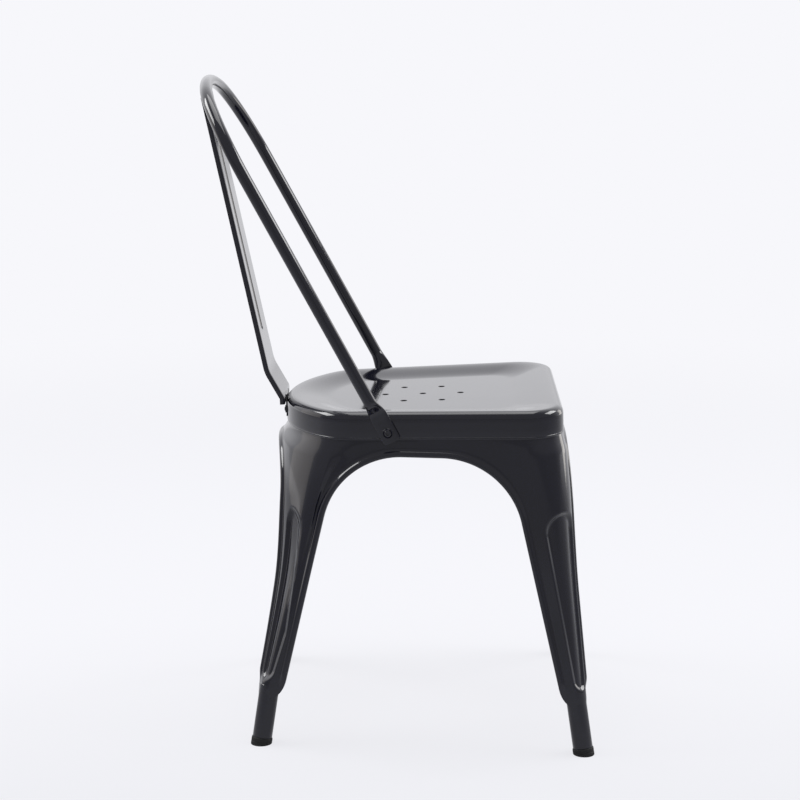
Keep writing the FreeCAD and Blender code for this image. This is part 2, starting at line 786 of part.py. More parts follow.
# Feet: a rubber glide plugged into each tube and cut flat where it stands.
def glides():
    made = []
    for corner in ("front", "rear"):
        axis = foot_axis(corner)
        lip = rod(corner + "_lip", axis, "-glide_height", "glide_lip", "2 * glide_height")
        plug = rod(corner + "_plug", axis, "0", "foot_bore - 2 * glide_play", "glide_height + glide_plug")
        floor = add("Part::Box", corner + "_floor")
        for key in ("Length", "Width"):
            length(floor, key, "4 * glide_lip")
        length(floor, "Height", "4 * glide_height")
        corner_of_floor = Vector(2 * size("glide_lip"), 2 * size("glide_lip"), 4 * size("glide_height"))
        floor.Placement = Placement(axis.Base - corner_of_floor, Rotation())
        glide = cut(corner + "_glide", fuse(corner + "_stopper", lip, plug), floor)
        glide.Label = "glide_%s_left" % corner
        place_on_floor(glide)
        right = add("Part::Mirroring", corner + "_glide_right", "glide_%s_right" % corner,
                    Source=glide, Normal=Vector(1, 0, 0))
        made += [glide, right]
    return made


# Back hoop: one bent tube whose two ends are pressed flat and bolted to the skirt's sides.
ARM_SLOPE = "(hoop_half - hoop_half_top) / hoop_arm"
BEND_X = "(hoop_half_top - hoop_round * cos(atan(%s)))" % ARM_SLOPE
BEND_Y = "(hoop_arm - hoop_round * sin(atan(%s)))" % ARM_SLOPE
CROWN_GAP = "(hoop_rise - %s)" % BEND_Y
CROWN_ROUND = ("((%s ^ 2 + %s ^ 2 - hoop_round ^ 2) / (2 * (%s - hoop_round)))"
               % (BEND_X, CROWN_GAP, CROWN_GAP))


CROWN_CENTRE = "(hoop_rise - %s)" % CROWN_ROUND


def hoop_plane():
    """The tube's own plane: through both bolts, tipped back; y runs up the arms."""
    tip = Rotation(Vector(1, 0, 0), 90 - size("hoop_lean"))
    return Placement(Vector(0, size("hoop_bolt_back"), -size("hoop_bolt_drop")), tip)


def hoop_path():
    path = add("Sketcher::SketchObject", "hoop_path", Placement=hoop_plane())
    path.setExpression("Placement.Base.y", bound("hoop_bolt_back"))
    path.setExpression("Placement.Base.z", bound("-hoop_bolt_drop"))
    path.setExpression("Placement.Rotation.Angle", bound("90 - hoop_lean"))
    slope, low, r = number(ARM_SLOPE), size("tube_start"), size("hoop_round")
    theta = atan2(slope, 1)
    start = (size("hoop_half") - slope * low, low)
    c, crown = (number(BEND_X), number(BEND_Y)), number(CROWN_ROUND)
    middle_y = size("hoop_rise") - crown
    turn = atan2(c[1] - middle_y, c[0])
    straight = radians(180)
    parts = [
        line(start, spot(c, r, theta)),
        arc(c, r, theta, turn),
        arc((0, middle_y), crown, turn, straight - turn),
        arc((-c[0], c[1]), r, straight - turn, straight - theta),
        line(spot((-c[0], c[1]), r, straight - theta), (-start[0], low)),
    ]
    for part in parts:
        path.addGeometry(part, False)
    for i in range(4):
        rule(path, "Tangent", i, 2, i + 1, 1)
    pin(path, 0, 1, "hoop_half - (%s) * tube_start" % ARM_SLOPE, "tube_start")
    pin(path, 4, 2, "-hoop_half + (%s) * tube_start" % ARM_SLOPE, "tube_start")
    dim(path, "Angle", 0, "90 + atan(%s) / 1 deg" % ARM_SLOPE)
    dim(path, "DistanceY", -1, 1, 1, 1, "hoop_arm")
    dim(path, "Radius", 1, "hoop_round")
    rule(path, "Equal", 1, 3)
    rule(path, "PointOnObject", 2, 3, -2)
    top = path.addGeometry(Part.Point(Vector(0, size("hoop_rise"), 0)), True)
    pin(path, top, 1, "0", "hoop_rise")
    rule(path, "PointOnObject", top, 1, 2)
    return path


def arm_frame():
    """Where the left arm's round tube starts: z runs up the arm, y points outwards."""
    slope, low = number(ARM_SLOPE), size("tube_start")
    base = hoop_plane().multVec(Vector(size("hoop_half") - slope * low, low, 0))
    up = hoop_plane().Rotation.multVec(Vector(-slope, 1, 0))
    return Placement(base, Rotation(Vector(), Vector(1, 0, 0), up, "ZYX"))


def tongue_frame(rise, lift):
    """On the left tongue, a bound height up the tube from the bolt and off the skirt."""
    wall = wall_frame(1)
    out = wall.Rotation.multVec(Vector(0, 0, 1))
    lean = radians(size("hoop_lean"))
    up = Vector(-sin(lean) * out.y / out.x, sin(lean), cos(lean))
    base = wall.Base + up * number(rise) + out * number(lift)
    return Placement(base, Rotation(Vector(), out, up, "ZYX"))


def round_section(name, frame, wide, thick):
    """A section in four arcs or lines: a circle when as wide as thick, else a flattened one."""
    sketch = add("Sketcher::SketchObject", name, Placement=frame)
    w, t = number(wide) / 2, number(thick) / 2
    if wide == thick:
        ways = [radians(45 + 90 * i) for i in range(5)]
        chain(sketch, [arc((0, 0), w, ways[i], ways[i + 1]) for i in range(4)], ())
        for i in range(4):
            rule(sketch, "Coincident", i, 3, -1, 1)
        dim(sketch, "Radius", 0, "(%s) / 2" % wide)
        rule(sketch, "Vertical", 0, 1, 3, 1)
        rule(sketch, "Horizontal", 0, 1, 0, 2)
        rule(sketch, "Vertical", 0, 2, 1, 2)
        return sketch
    parts = [
        line((w - t, t), (t - w, t)),
        arc((t - w, 0), t, radians(90), radians(270)),
        line((t - w, -t), (w - t, -t)),
        arc((w - t, 0), t, radians(-90), radians(90)),
    ]
    chain(sketch, parts, (0, 1, 2, 3))
    rule(sketch, "Horizontal", 0)
    pin(sketch, 1, 3, "-(%s - %s) / 2" % (wide, thick), "0")
    pin(sketch, 3, 3, "(%s - %s) / 2" % (wide, thick), "0")
    dim(sketch, "Radius", 1, "(%s) / 2" % thick)
    return sketch


def back_hoop():
    path = hoop_path()
    edges = ["Edge%d" % i for i in range(1, 6)]
    turned = arm_frame()
    runs = []
    for name, diameter in (("outside", "hoop_tube"), ("inside", "hoop_bore")):
        ring = add("Sketcher::SketchObject", "hoop_" + name, Placement=turned)
        index = ring.addGeometry(Part.Circle(Vector(), Vector(0, 0, 1), number(diameter) / 2), False)
        rule(ring, "Coincident", index, 3, -1, 1)
        dim(ring, "Diameter", index, diameter)
        runs.append(add("Part::Sweep", "hoop_run_" + name, Sections=[ring], Spine=(path, edges), Solid=True,
                        Frenet=False))
    tube = cut("hoop_bend", *runs)
    join = round_section("arm_section", turned, "hoop_tube", "hoop_tube")
    flat = round_section("tongue_section", tongue_frame("tongue_run", "tongue_thick / 2"), "tongue_width",
                         "tongue_thick")
    swage = add("Part::Loft", "swage", Sections=[flat, join], Solid=True, Ruled=False)
    tongue = add("Part::Extrusion", "tongue", Base=flat, DirMode="Normal", Solid=True)
    length(tongue, "LengthRev", "tongue_run + tongue_end")
    tongue.LengthFwd = 0
    hole = rod("tongue_hole", wall_frame(1), "-tongue_thick", "bolt_shank + 2 * bolt_play",
               "3 * tongue_thick")
    left = cut("hoop_end", fuse("hoop_end_solid", swage, tongue), hole)
    right = add("Part::Mirroring", "hoop_end_right", Source=left, Normal=Vector(1, 0, 0))
    return seat_left(fuse("hoop", tube, left, right), "back_hoop")


# Back splat: a pressed channel from the skirt's rear face up to the hoop's crown.
SPLAT_RISE = REACH


def splat_path():
    """The front face's side line: out over the rim, round the knee and up to the crown."""
    yz = Rotation(Vector(1, 1, 1), 120)
    path = add("Sketcher::SketchObject", "splat_path", Placement=Placement(Vector(), yz))
    turn, rise = radians(number(SPLAT_TURN)), number(SPLAT_RISE)
    foot = (size("seat_rear"), size("splat_foot_rise"))
    knee = (size("splat_knee_back"), size("splat_knee_rise"))
    top = (knee[0] + rise * sin(turn), knee[1] + rise * cos(turn))
    low = (foot[0], foot[1] - size("splat_foot_bend"))
    slant = atan2(knee[0] - foot[0], knee[1] - foot[1])

    def bend(at, before, after, radius):
        cutback = radius * tan(abs(after - before) / 2)
        start = (at[0] - cutback * sin(before), at[1] - cutback * cos(before))
        end = (at[0] + cutback * sin(after), at[1] + cutback * cos(after))
        side = 1 if after > before else -1
        centre = (start[0] + side * radius * cos(before), start[1] - side * radius * sin(before))
        a = atan2(start[1] - centre[1], start[0] - centre[0])
        b = atan2(end[1] - centre[1], end[0] - centre[0])
        return start, end, arc(centre, radius, a, b) if side < 0 else arc(centre, radius, b, a)

    s1, e1, a1 = bend(foot, 0, slant, size("splat_foot_bend"))
    s2, e2, a2 = bend(knee, slant, turn, size("splat_bend"))
    for part in (line(low, s1), a1, line(e1, s2), a2, line(e2, top)):
        path.addGeometry(part, False)
    rule(path, "Tangent", 0, 2, 1, 2)
    rule(path, "Tangent", 1, 1, 2, 1)
    rule(path, "Tangent", 2, 2, 3, 1)
    rule(path, "Tangent", 3, 2, 4, 1)
    pin(path, 0, 1, "seat_rear", "splat_foot_rise - splat_foot_bend")
    rule(path, "Vertical", 0)
    dim(path, "Radius", 1, "splat_foot_bend")
    dim(path, "Radius", 3, "splat_bend")
    for point, x, y, ends in ((foot, "seat_rear", "splat_foot_rise", (2,)),
                              (knee, "splat_knee_back", "splat_knee_rise", (2, 4))):
        mark = path.addGeometry(Part.Point(Vector(point[0], point[1], 0)), True)
        pin(path, mark, 1, x, y)
        for edge in ends:
            rule(path, "PointOnObject", mark, 1, edge)
    pin(path, 4, 2, "splat_knee_back + (%s) * sin(%s)" % (SPLAT_RISE, SPLAT_TURN),
        "splat_knee_rise + (%s) * cos(%s)" % (SPLAT_RISE, SPLAT_TURN))
    return path


def outline(name, frame, corners):
    """An open-cornered outline through bound corners, for a profile that isn't convex."""
    sketch = add("Sketcher::SketchObject", name, Placement=frame)
    points = [(number(x), number(y)) for x, y in corners]
    count = len(points)
    chain(sketch, [line(points[i], points[(i + 1) % count]) for i in range(count)], ())
    for i, (x, y) in enumerate(corners):
        pin(sketch, i, 1, x, y)
    return sketch


def splat_frame():
    """On the splat's front face: origin at the knee, y up the splat, z out of its front."""
    turn = radians(number(SPLAT_TURN))
    up = Vector(0, sin(turn), cos(turn))
    front = Vector(0, -cos(turn), sin(turn))
    base = Vector(0, size("splat_knee_back"), size("splat_knee_rise"))
    return Placement(base, Rotation(up.cross(front), up, front, "ZYX"))


def back_splat():
    path = splat_path()
    half, inner = "splat_width / 2", "splat_width / 2 - splat_thick"
    flange, thick = "splat_flange", "splat_thick"
    foot_end = Vector(0, size("seat_rear"), size("splat_foot_rise") - size("splat_foot_bend"))
    low = Placement(foot_end, Rotation())
    corners = [("-(%s)" % half, "0"), (half, "0"), (half, flange), (inner, flange), (inner, thick),
               ("-(%s)" % inner, thick), ("-(%s)" % inner, flange), ("-(%s)" % half, flange)]
    section = outline("splat_section", low, corners)
    channel = add("Part::Sweep", "splat_channel", Sections=[section], Solid=True, Frenet=False,
                  Spine=(path, ["Edge%d" % i for i in range(1, 6)]))
    face = splat_frame()
    pads = []
    skins = (("panel", "0", "-splat_thick / 2", "panel_rise + splat_thick / 2"),
             ("panel_back", "splat_thick", "-2 * splat_thick", "panel_rise + splat_thick"))
    for name, inset, lift, depth in skins:
        wide = "panel_width / 2 - " + inset
        rounding = "panel_width / 4 - " + inset
        low_y, high_y = "panel_low + " + inset, "panel_high - " + inset
        sketch = add("Sketcher::SketchObject", name + "_outline",
                     Placement=face.multiply(Placement(Vector(0, 0, number(lift)), Rotation())))
        polygon(sketch, [("-(%s)" % wide, low_y, rounding), (wide, low_y, rounding), (wide, high_y, rounding),
                         ("-(%s)" % wide, high_y, rounding)])
        pad = add("Part::Extrusion", name, Base=sketch, DirMode="Normal", Solid=True)
        length(pad, "LengthFwd", depth)
        pads.append(pad)
    tab = add("Part::Box", "tab_block")
    length(tab, "Length", "splat_tab")
    length(tab, "Width", "4 * splat_flange")
    length(tab, "Height", "splat_tab_drop")
    tab.Placement = Placement(Vector(-size("splat_tab") / 2, size("seat_rear") - 2 * size("splat_flange"),
                                     -size("splat_tab_drop")), Rotation())
    arc_frame = Placement(Vector(0, size("seat_rear") - size("back_curve"), 0), Rotation())
    outside = rod("tab_outside", arc_frame, "-splat_tab_drop", "2 * back_curve + 2 * splat_thick",
                  "splat_tab_drop")
    inside = rod("tab_inside", arc_frame, "-splat_tab_drop", "2 * back_curve", "splat_tab_drop")
    tongue = cut("tab", common("tab_curve", tab, outside), inside)
    crown_frame = hoop_plane().multiply(Placement(Vector(0, number(CROWN_CENTRE), 0), Rotation()))
    under_crown = rod("under_crown", crown_frame, "-hoop_rise / 2", "2 * %s - hoop_tube / 2" % CROWN_ROUND,
                      "hoop_rise")
    crown_ring = add("Part::Torus", "crown_ring", Placement=crown_frame)
    length(crown_ring, "Radius1", CROWN_ROUND)
    length(crown_ring, "Radius2", "hoop_tube / 2 + fit_gap")
    trimmed = cut("splat_trimmed", common("splat_below_crown", channel, under_crown), crown_ring)
    whole = cut("splat_shell", fuse("splat_solid", trimmed, pads[0], tongue), pads[1])
    for side, word in ((1, "left"), (-1, "right")):
        hole = rod("tab_hole_" + word, rear_frame(side), "-drill_reach", "splat_bolt_shank + 2 * bolt_play",
                   "2 * drill_reach")
        whole = cut("splat_drilled_" + word, whole, hole)
    return seat_left(whole, "back_splat")


# Fasteners: cap screws, nuts and washers at the hoop's ends and at the splat's foot.
LEG_INSIDE = "pan_thick + fit_gap + leg_thick"


def capped(name, frame, seat, head, dome, shank, reach):
    """A low conical head on a seat, and a shank that reaches inwards."""
    cap = add("Part::Cone", name + "_head")
    length(cap, "Radius1", "(%s) / 2" % head)
    length(cap, "Radius2", "(%s) / 2 * head_flat" % head)
    length(cap, "Height", dome)
    cap.Placement = frame.multiply(Placement(Vector(0, 0, number(seat)), Rotation()))
    stem = rod(name + "_shank", frame, "-(%s)" % reach, shank, joined(seat, reach, "(%s) / 2" % dome))
    return fuse(name, cap, stem)


def ring(name, frame, lift, outer, bore, thick):
    return cut(name, rod(name + "_disc", frame, lift, outer, thick),
               rod(name + "_bore", frame, joined(lift, "-(%s)" % thick), bore, "3 * (%s)" % thick))


def nut(name, frame, lift, flats, bore, thick):
    block = add("Part::Prism", name + "_block", Polygon=6)
    length(block, "Circumradius", "(%s) / 2 / cos(30)" % flats)
    length(block, "Height", thick)
    block.Placement = frame.multiply(Placement(Vector(0, 0, number(lift)), Rotation()))
    hole = rod(name + "_bore", frame, joined(lift, "-(%s)" % thick), bore, "3 * (%s)" % thick)
    return cut(name, block, hole)


def fasteners():
    washer_low = "-(%s) - washer_thick" % LEG_INSIDE
    nut_low = joined(washer_low, "-nut_thick")
    splat_nut_low = joined("-(%s)" % LEG_INSIDE, "-splat_nut_thick")
    hoop_reach = "%s + washer_thick + nut_thick + bolt_spare" % LEG_INSIDE
    splat_reach = "%s + splat_nut_thick + bolt_spare" % LEG_INSIDE

    def hoop_bolt(side, word):
        return capped("hoop_bolt_" + word, wall_frame(side), "tongue_thick", "bolt_head", "bolt_dome",
                      "bolt_shank", hoop_reach)

    def hoop_washer(side, word):
        return ring("hoop_washer_" + word, wall_frame(side), washer_low, "washer_width",
                    "bolt_shank + 2 * bolt_play", "washer_thick")

    def hoop_nut(side, word):
        return nut("hoop_nut_" + word, wall_frame(side), nut_low, "nut_width", "bolt_shank", "nut_thick")

    def splat_bolt(side, word):
        return capped("splat_bolt_" + word, rear_frame(side), "splat_thick", "splat_bolt_head",
                      "splat_bolt_dome", "splat_bolt_shank", splat_reach)

    def splat_nut(side, word):
        return nut("splat_nut_" + word, rear_frame(side), splat_nut_low, "splat_nut_width",
                   "splat_bolt_shank", "splat_nut_thick")

    makers = (("hoop_bolts", hoop_bolt), ("hoop_washers", hoop_washer), ("hoop_nuts", hoop_nut),
              ("splat_bolts", splat_bolt), ("splat_nuts", splat_nut))
    return [pair(label, make) for label, make in makers]


# Cross brace: two flat bars under the seat, each from a front leg to the rear leg across,
# with ends bent down against the legs' corners and one rivet where they cross.
def corner_centre(corner):
    """Centre of the leg's top corner arc in the seat frame, left side."""
    theta = radians(size("seat_taper"))
    if corner == "front":
        y = size("front_corner") - size("seat_front")
        return Vector(size("seat_half") - tan(theta) * y - size("front_corner") / cos(theta), y, 0)
    reach = size("seat_half") - size("rear_corner") / cos(theta)
    c = tangent_centre(reach, tan(theta), size("seat_rear") - size("back_curve"),
                       size("back_curve") - size("rear_corner"))
    return Vector(c[0], c[1], 0)


def brace_line():
    """Both arc centres that one bar passes through, front left and rear right."""
    front, rear = corner_centre("front"), corner_centre("rear")
    return front, Vector(-rear.x, rear.y, 0)


def brace_bar(name, drop, side):
    front, rear = brace_line()
    if side < 0:
        front, rear = Vector(-front.x, front.y, 0), Vector(-rear.x, rear.y, 0)
    along = (front - rear).normalize()
    half = size("brace_width") / 2
    ends = {}
    for corner, centre, way in (("front", front, 1), ("rear", rear, -1)):
        wall = size(corner + "_corner") - number(LEG_INSIDE)
        ends[corner] = centre + along * (way * sqrt(wall ** 2 - half ** 2))
    run = (ends["front"] - ends["rear"]).Length
    across = Vector(0, 0, 1).cross(along)
    low = ends["rear"] - across * half - Vector(0, 0, number(drop))
    frame = Placement(low, Rotation(along, across, Vector(0, 0, 1), "ZXY"))
    flat = add("Part::Box", name + "_flat", Length=run, Placement=frame)
    length(flat, "Width", "brace_width")
    length(flat, "Height", "brace_thick")
    pieces = [flat]
    for word, start in (("rear", 0), ("front", run - size("brace_thick"))):
        lug = add("Part::Box", "%s_lug_%s" % (name, word))
        length(lug, "Length", "brace_thick")
        length(lug, "Width", "brace_width")
        length(lug, "Height", "brace_lug")
        lug_low = Vector(start, 0, size("brace_thick") - size("brace_lug"))
        lug.Placement = frame.multiply(Placement(lug_low, Rotation()))
        pieces.append(lug)
    hole = rod(name + "_hole", Placement(cross_point(), Rotation()), "-(%s) - brace_thick" % drop,
               "rivet_shank", "3 * brace_thick")
    return seat_left(cut(name, fuse(name + "_solid", *pieces), hole), name)


def cross_point():
    front, rear = brace_line()
    share = front.x / (front.x - rear.x)
    return front + (rear - front) * share


def brace():
    upper = brace_bar("brace_bar_upper", "brace_drop", 1)
    lower = brace_bar("brace_bar_lower", "brace_drop + brace_thick", -1)
    down = Placement(cross_point(), Rotation(Vector(1, 0, 0), 180))
    up = Placement(cross_point(), Rotation())
    top, bottom = "brace_thick - brace_drop", "brace_drop + brace_thick"
    head = capped("rivet_low", down, bottom, "rivet_head", "rivet_dome", "rivet_shank", "-brace_drop")
    tail = capped("rivet_high", up, top, "rivet_head", "rivet_dome", "rivet_shank", "brace_drop")
    return [upper, lower, seat_left(fuse("brace_rivet_solid", head, tail), "brace_rivet")]


# Build every piece, test it and write it under its own name.
def build():
    pan = seat_pan()
    pan_holes(pan)
    return [pan] + legs() + glides() + [back_hoop(), back_splat()] + fasteners() + brace()


pieces = build()
doc.recompute()
for obj in doc.Objects:
    if "Invalid" in obj.State or "Error" in obj.State:
        raise RuntimeError("%s did not build" % obj.Name)
for obj in pieces:
    if obj.Shape.isNull() or not obj.Shape.isValid():
        raise RuntimeError("%s has no valid shape" % obj.Label)
os.makedirs("parts", exist_ok=True)
for obj in pieces:
    obj.Shape.exportStep("parts/%s.step" % obj.Label)
    print(obj.Label, len(obj.Shape.Solids), round(obj.Shape.Volume))
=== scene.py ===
import bmesh
import bpy
from math import asin, atan, atan2, cos, pi, radians, sin, sqrt, tan
from mathutils import Matrix, Vector


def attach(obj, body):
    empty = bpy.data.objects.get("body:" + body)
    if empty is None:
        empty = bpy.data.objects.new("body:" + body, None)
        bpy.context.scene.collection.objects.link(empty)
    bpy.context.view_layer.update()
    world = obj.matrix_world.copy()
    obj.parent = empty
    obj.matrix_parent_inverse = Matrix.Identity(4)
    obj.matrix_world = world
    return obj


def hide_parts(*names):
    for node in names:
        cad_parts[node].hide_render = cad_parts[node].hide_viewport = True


# Metal bistro chair: pressed sheet steel under a gloss black powder coat.
# Lengths below are in millimetres; every mesh is turned to metres as it is finished.
# The chair faces -Y, +X is the sitter's left, the floor is z = 0.

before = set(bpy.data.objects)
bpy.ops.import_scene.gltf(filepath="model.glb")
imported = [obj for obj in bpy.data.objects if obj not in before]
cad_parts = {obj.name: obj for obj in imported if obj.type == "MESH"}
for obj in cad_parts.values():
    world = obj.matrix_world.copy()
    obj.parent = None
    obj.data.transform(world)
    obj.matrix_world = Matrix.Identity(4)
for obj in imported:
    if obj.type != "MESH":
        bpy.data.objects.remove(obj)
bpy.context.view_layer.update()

MM = 0.001
CENTRE = -32.7025
SEAT_HEIGHT = 440.0
TILT = radians(1.7)
SEAT_FRONT, SEAT_REAR, SEAT_HALF = 180.5, 182.5, 164.3
TAPER = radians(5.85)
FRONT_CORNER, REAR_CORNER, BACK_CURVE = 49.0, 70.0, 200.0
SKIRT = 34.0
PAN_THICK = 1.2
RIM_FLAT, DISH_END, DISH, DISH_CORNER = 11.0, 62.0, 8.0, 28.0
TOP_INSET = 1.4
LEG_THICK = 1.5
HEM_ROLL, RIM_ROUND = 0.9, 10.0
HOLE_ROW, HOLE_STEP, HOLE_EDGE = 44.5, 50.5, 6.4
# a drain hole's rolled lip: radius and drop below the dish
HOLE_LIP = ((5.1, 0.0), (4.95, 0.0), (4.62, 0.1), (4.38, 0.32), (4.25, 0.7))
# facets round a tube or a turned form
FACETS = 48

# From the seat's own frame, whose z = 0 is the rim plane, to the floor frame.
SEAT = Matrix.Translation((0, CENTRE, SEAT_HEIGHT)) @ Matrix.Rotation(-TILT, 4, "X")


def smooth(x):
    x = min(1.0, max(0.0, x))
    return x * x * (3 - 2 * x)


def lerp(a, b, t):
    return a + (b - a) * t


def toward(angle):
    """Unit vector in plan."""
    return Vector((cos(angle), sin(angle), 0))


# Mesh helpers
def edges_in(geom):
    return [g for g in geom if isinstance(g, bmesh.types.BMEdge)]


def edges_at(verts):
    return list(dict.fromkeys(edge for vert in verts for edge in vert.link_edges))


def all_of(bm):
    return bm.verts[:] + bm.edges[:] + bm.faces[:]


def sheet_grid(bm, columns, rows):
    """A new flat grid's corners, each with its column and row."""
    grid = bmesh.ops.create_grid(bm, x_segments=columns - 1, y_segments=rows - 1, size=1.0)["verts"]
    return [(vert, round((vert.co.x + 1) / 2 * (columns - 1)), round((vert.co.y + 1) / 2 * (rows - 1)))
            for vert in grid]


def place(bm, matrix, verts=None):
    bmesh.ops.transform(bm, matrix=matrix, verts=verts or bm.verts)


def to_side(bm, side):
    """Carry a left-hand piece under the seat, mirrored over first for the right-hand side."""
    if side < 0:
        place(bm, Matrix.Scale(-1, 4, (1, 0, 0)))
        bmesh.ops.reverse_faces(bm, faces=bm.faces)
    place(bm, Matrix.Translation((0, CENTRE, 0)))


def face_sheet(bm, way, rank):
    """Turn an open sheet's faces so that the one whose middle ranks lowest looks the given way."""
    bmesh.ops.recalc_face_normals(bm, faces=bm.faces)
    probe = min(bm.faces, key=lambda face: rank(face.calc_center_median()))
    if probe.normal.dot(Vector(way)) < 0:
        bmesh.ops.reverse_faces(bm, faces=bm.faces)


def finish_piece(bm, name, material, nodes=(), sharp=35.0, solid=None):
    """Scale to metres, shade smooth with sharp edges kept, and hand over as one piece.

    solid is the gauge of an open sheet, whose faces already point outwards.
    """
    bmesh.ops.remove_doubles(bm, verts=bm.verts, dist=0.002)
    if not solid:
        bmesh.ops.recalc_face_normals(bm, faces=bm.faces)
    limit = radians(sharp)
    for edge in bm.edges:
        edge.smooth = len(edge.link_faces) == 2 and edge.calc_face_angle(0) < limit
    for face in bm.faces:
        face.smooth = True
    place(bm, Matrix.Scale(MM, 4))
    mesh = bpy.data.meshes.new(name)
    bm.to_mesh(mesh)
    bm.free()
    piece = bpy.data.objects.new(name, mesh)
    bpy.context.scene.collection.objects.link(piece)
    mesh.materials.append(material)
    if solid:
        wall = piece.modifiers.new("sheet_gauge", "SOLIDIFY")
        wall.thickness = solid * MM
        wall.offset = -1
    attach(piece, "root")
    if nodes:
        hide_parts(*nodes)


def ring_extrude(bm, edges, move):
    """Extrude a run of edges and put each new corner where move says; returns the new edges."""
    made = bmesh.ops.extrude_edge_only(bm, edges=edges)["geom"]
    for vert in (g for g in made if isinstance(g, bmesh.types.BMVert)):
        vert.co = move(vert)
    return edges_in(made)


# Materials
def linear(text):
    """An sRGB hex value as a linear colour."""
    parts = [int(text[i:i + 2], 16) / 255 for i in (1, 3, 5)]
    return [p / 12.92 if p <= 0.04045 else ((p + 0.055) / 1.055) ** 2.4 for p in parts] + [1.0]


def node(tree, kind, settings=(), feeds=(), **links):
    """One node with its settings, and what feeds its inputs in order or by name.

    Where a node feeds it, that node's first output does.
    """
    made = tree.nodes.new("ShaderNode" + kind)
    for key, value in dict(settings).items():
        if key == "tones":
            for stop, text in zip(made.color_ramp.elements, value):
                stop.color = linear(text)
        elif hasattr(made, key):
            setattr(made, key, value)
        else:
            made.inputs[key].default_value = value
    named = [(key.replace("_", " "), source) for key, source in links.items()]
    for key, source in [*enumerate(feeds), *named]:
        tree.links.new(source.outputs[0] if hasattr(source, "outputs") else source, made.inputs[key])
    return made


def span(low, high, start=0.0, end=1.0, ease="LINEAR"):
    """Settings that carry values from low and high over to start and end."""
    return {"interpolation_type": ease, "From Min": low, "From Max": high, "To Min": start, "To Max": end}


def new_material(name):
    """A material, its empty node tree and the output that places patterns on the piece."""
    material = bpy.data.materials.new(name)
    material.use_nodes = True
    tree = material.node_tree
    tree.nodes.clear()
    return material, tree, node(tree, "TexCoord").outputs["Object"]


def powder_coat():
    """Gloss powder coat baked on sheet steel: near-black, with a faint orange peel."""
    material, tree, place_at = new_material("gloss_black_powder_coat")
    # orange peel cells are about 3 mm across and a few microns high
    peel = node(tree, "TexNoise", {"Scale": 320.0, "Detail": 1.0, "Roughness": 0.4}, Vector=place_at)
    # the pressed sheet waves by some hundredths of a millimetre over about 70 mm
    wave = node(tree, "TexNoise", {"Scale": 14.0, "Detail": 0.0}, Vector=place_at)
    # the film's gloss drifts over a hand's breadth
    film = node(tree, "TexNoise", {"Scale": 9.0, "Detail": 2.0}, Vector=place_at)
    rough = node(tree, "MapRange", span(0.3, 0.7, 0.09, 0.14), Value=film)
    tone = node(tree, "ValToRGB", {"tones": ("#0a0a17", "#0f0f1e")}, Fac=wave)
    waves = node(tree, "Bump", {"Strength": 0.25, "Distance": 0.0006}, Height=wave)
    bump = node(tree, "Bump", {"Strength": 0.12, "Distance": 0.00004}, Height=peel, Normal=waves)
    paint = node(tree, "BsdfPrincipled", {"IOR": 1.5, "Coat Weight": 1.0, "Coat Roughness": 0.06},
                 Base_Color=tone, Roughness=rough, Normal=bump, Coat_Normal=bump)
    node(tree, "OutputMaterial", Surface=paint)
    return material


def zinc_plate():
    """Bright zinc plating on small steel fasteners: grey metal, lightly clouded."""
    material, tree, place_at = new_material("bright_zinc_plate")
    # the clouds are about a millimetre across
    cloud = node(tree, "TexNoise", {"Scale": 900.0, "Detail": 4.0}, Vector=place_at)
    tone = node(tree, "ValToRGB", {"tones": ("#9da2a6", "#c8ccce")}, Fac=cloud)
    rough = node(tree, "MapRange", span(0, 1, 0.25, 0.45), Value=cloud)
    metal = node(tree, "BsdfPrincipled", {"Metallic": 1.0}, Base_Color=tone, Roughness=rough)
    node(tree, "OutputMaterial", Surface=metal)
    return material


def moulded_rubber():
    """Moulded rubber glide: matt, with a fine grain and paler dusty patches."""
    material, tree, place_at = new_material("moulded_black_rubber")
    # the grain is 0.7 mm across and the patches are about 8 mm
    grain = node(tree, "TexNoise", {"Scale": 1400.0, "Detail": 3.0}, Vector=place_at)
    patch = node(tree, "TexNoise", {"Scale": 120.0, "Detail": 2.0}, Vector=place_at)
    tone = node(tree, "ValToRGB", {"tones": ("#121213", "#1f1f20")}, Fac=patch)
    bump = node(tree, "Bump", {"Strength": 0.3, "Distance": 0.0003}, Height=grain)
    rubber = node(tree, "BsdfPrincipled", {"Roughness": 0.62, "IOR": 1.52}, Base_Color=tone, Normal=bump)
    node(tree, "OutputMaterial", Surface=rubber)
    return material


PAINT = powder_coat()
ZINC = zinc_plate()
RUBBER = moulded_rubber()


# The seat's plan: straight front, tapered sides, round corners and a curved back.
def front_centre():
    y = FRONT_CORNER - SEAT_FRONT
    return (SEAT_HALF - tan(TAPER) * y - FRONT_CORNER / cos(TAPER), y)


def rear_centre():
    """The circle tangent to the side line and, from inside, to the back curve."""
    low, high = BACK_Y, SEAT_REAR - REAR_CORNER
    reach = SEAT_HALF - REAR_CORNER / cos(TAPER)
    for _ in range(50):
        y = (low + high) / 2
        if (reach - tan(TAPER) * y) ** 2 + (y - BACK_Y) ** 2 < (BACK_CURVE - REAR_CORNER) ** 2:
            low = y
        else:
            high = y
    return (reach - tan(TAPER) * low, low)


BACK_Y = SEAT_REAR - BACK_CURVE
FRONT_C, REAR_C = front_centre(), rear_centre()
BACK_TURN = atan2(REAR_C[1] - BACK_Y, REAR_C[0])


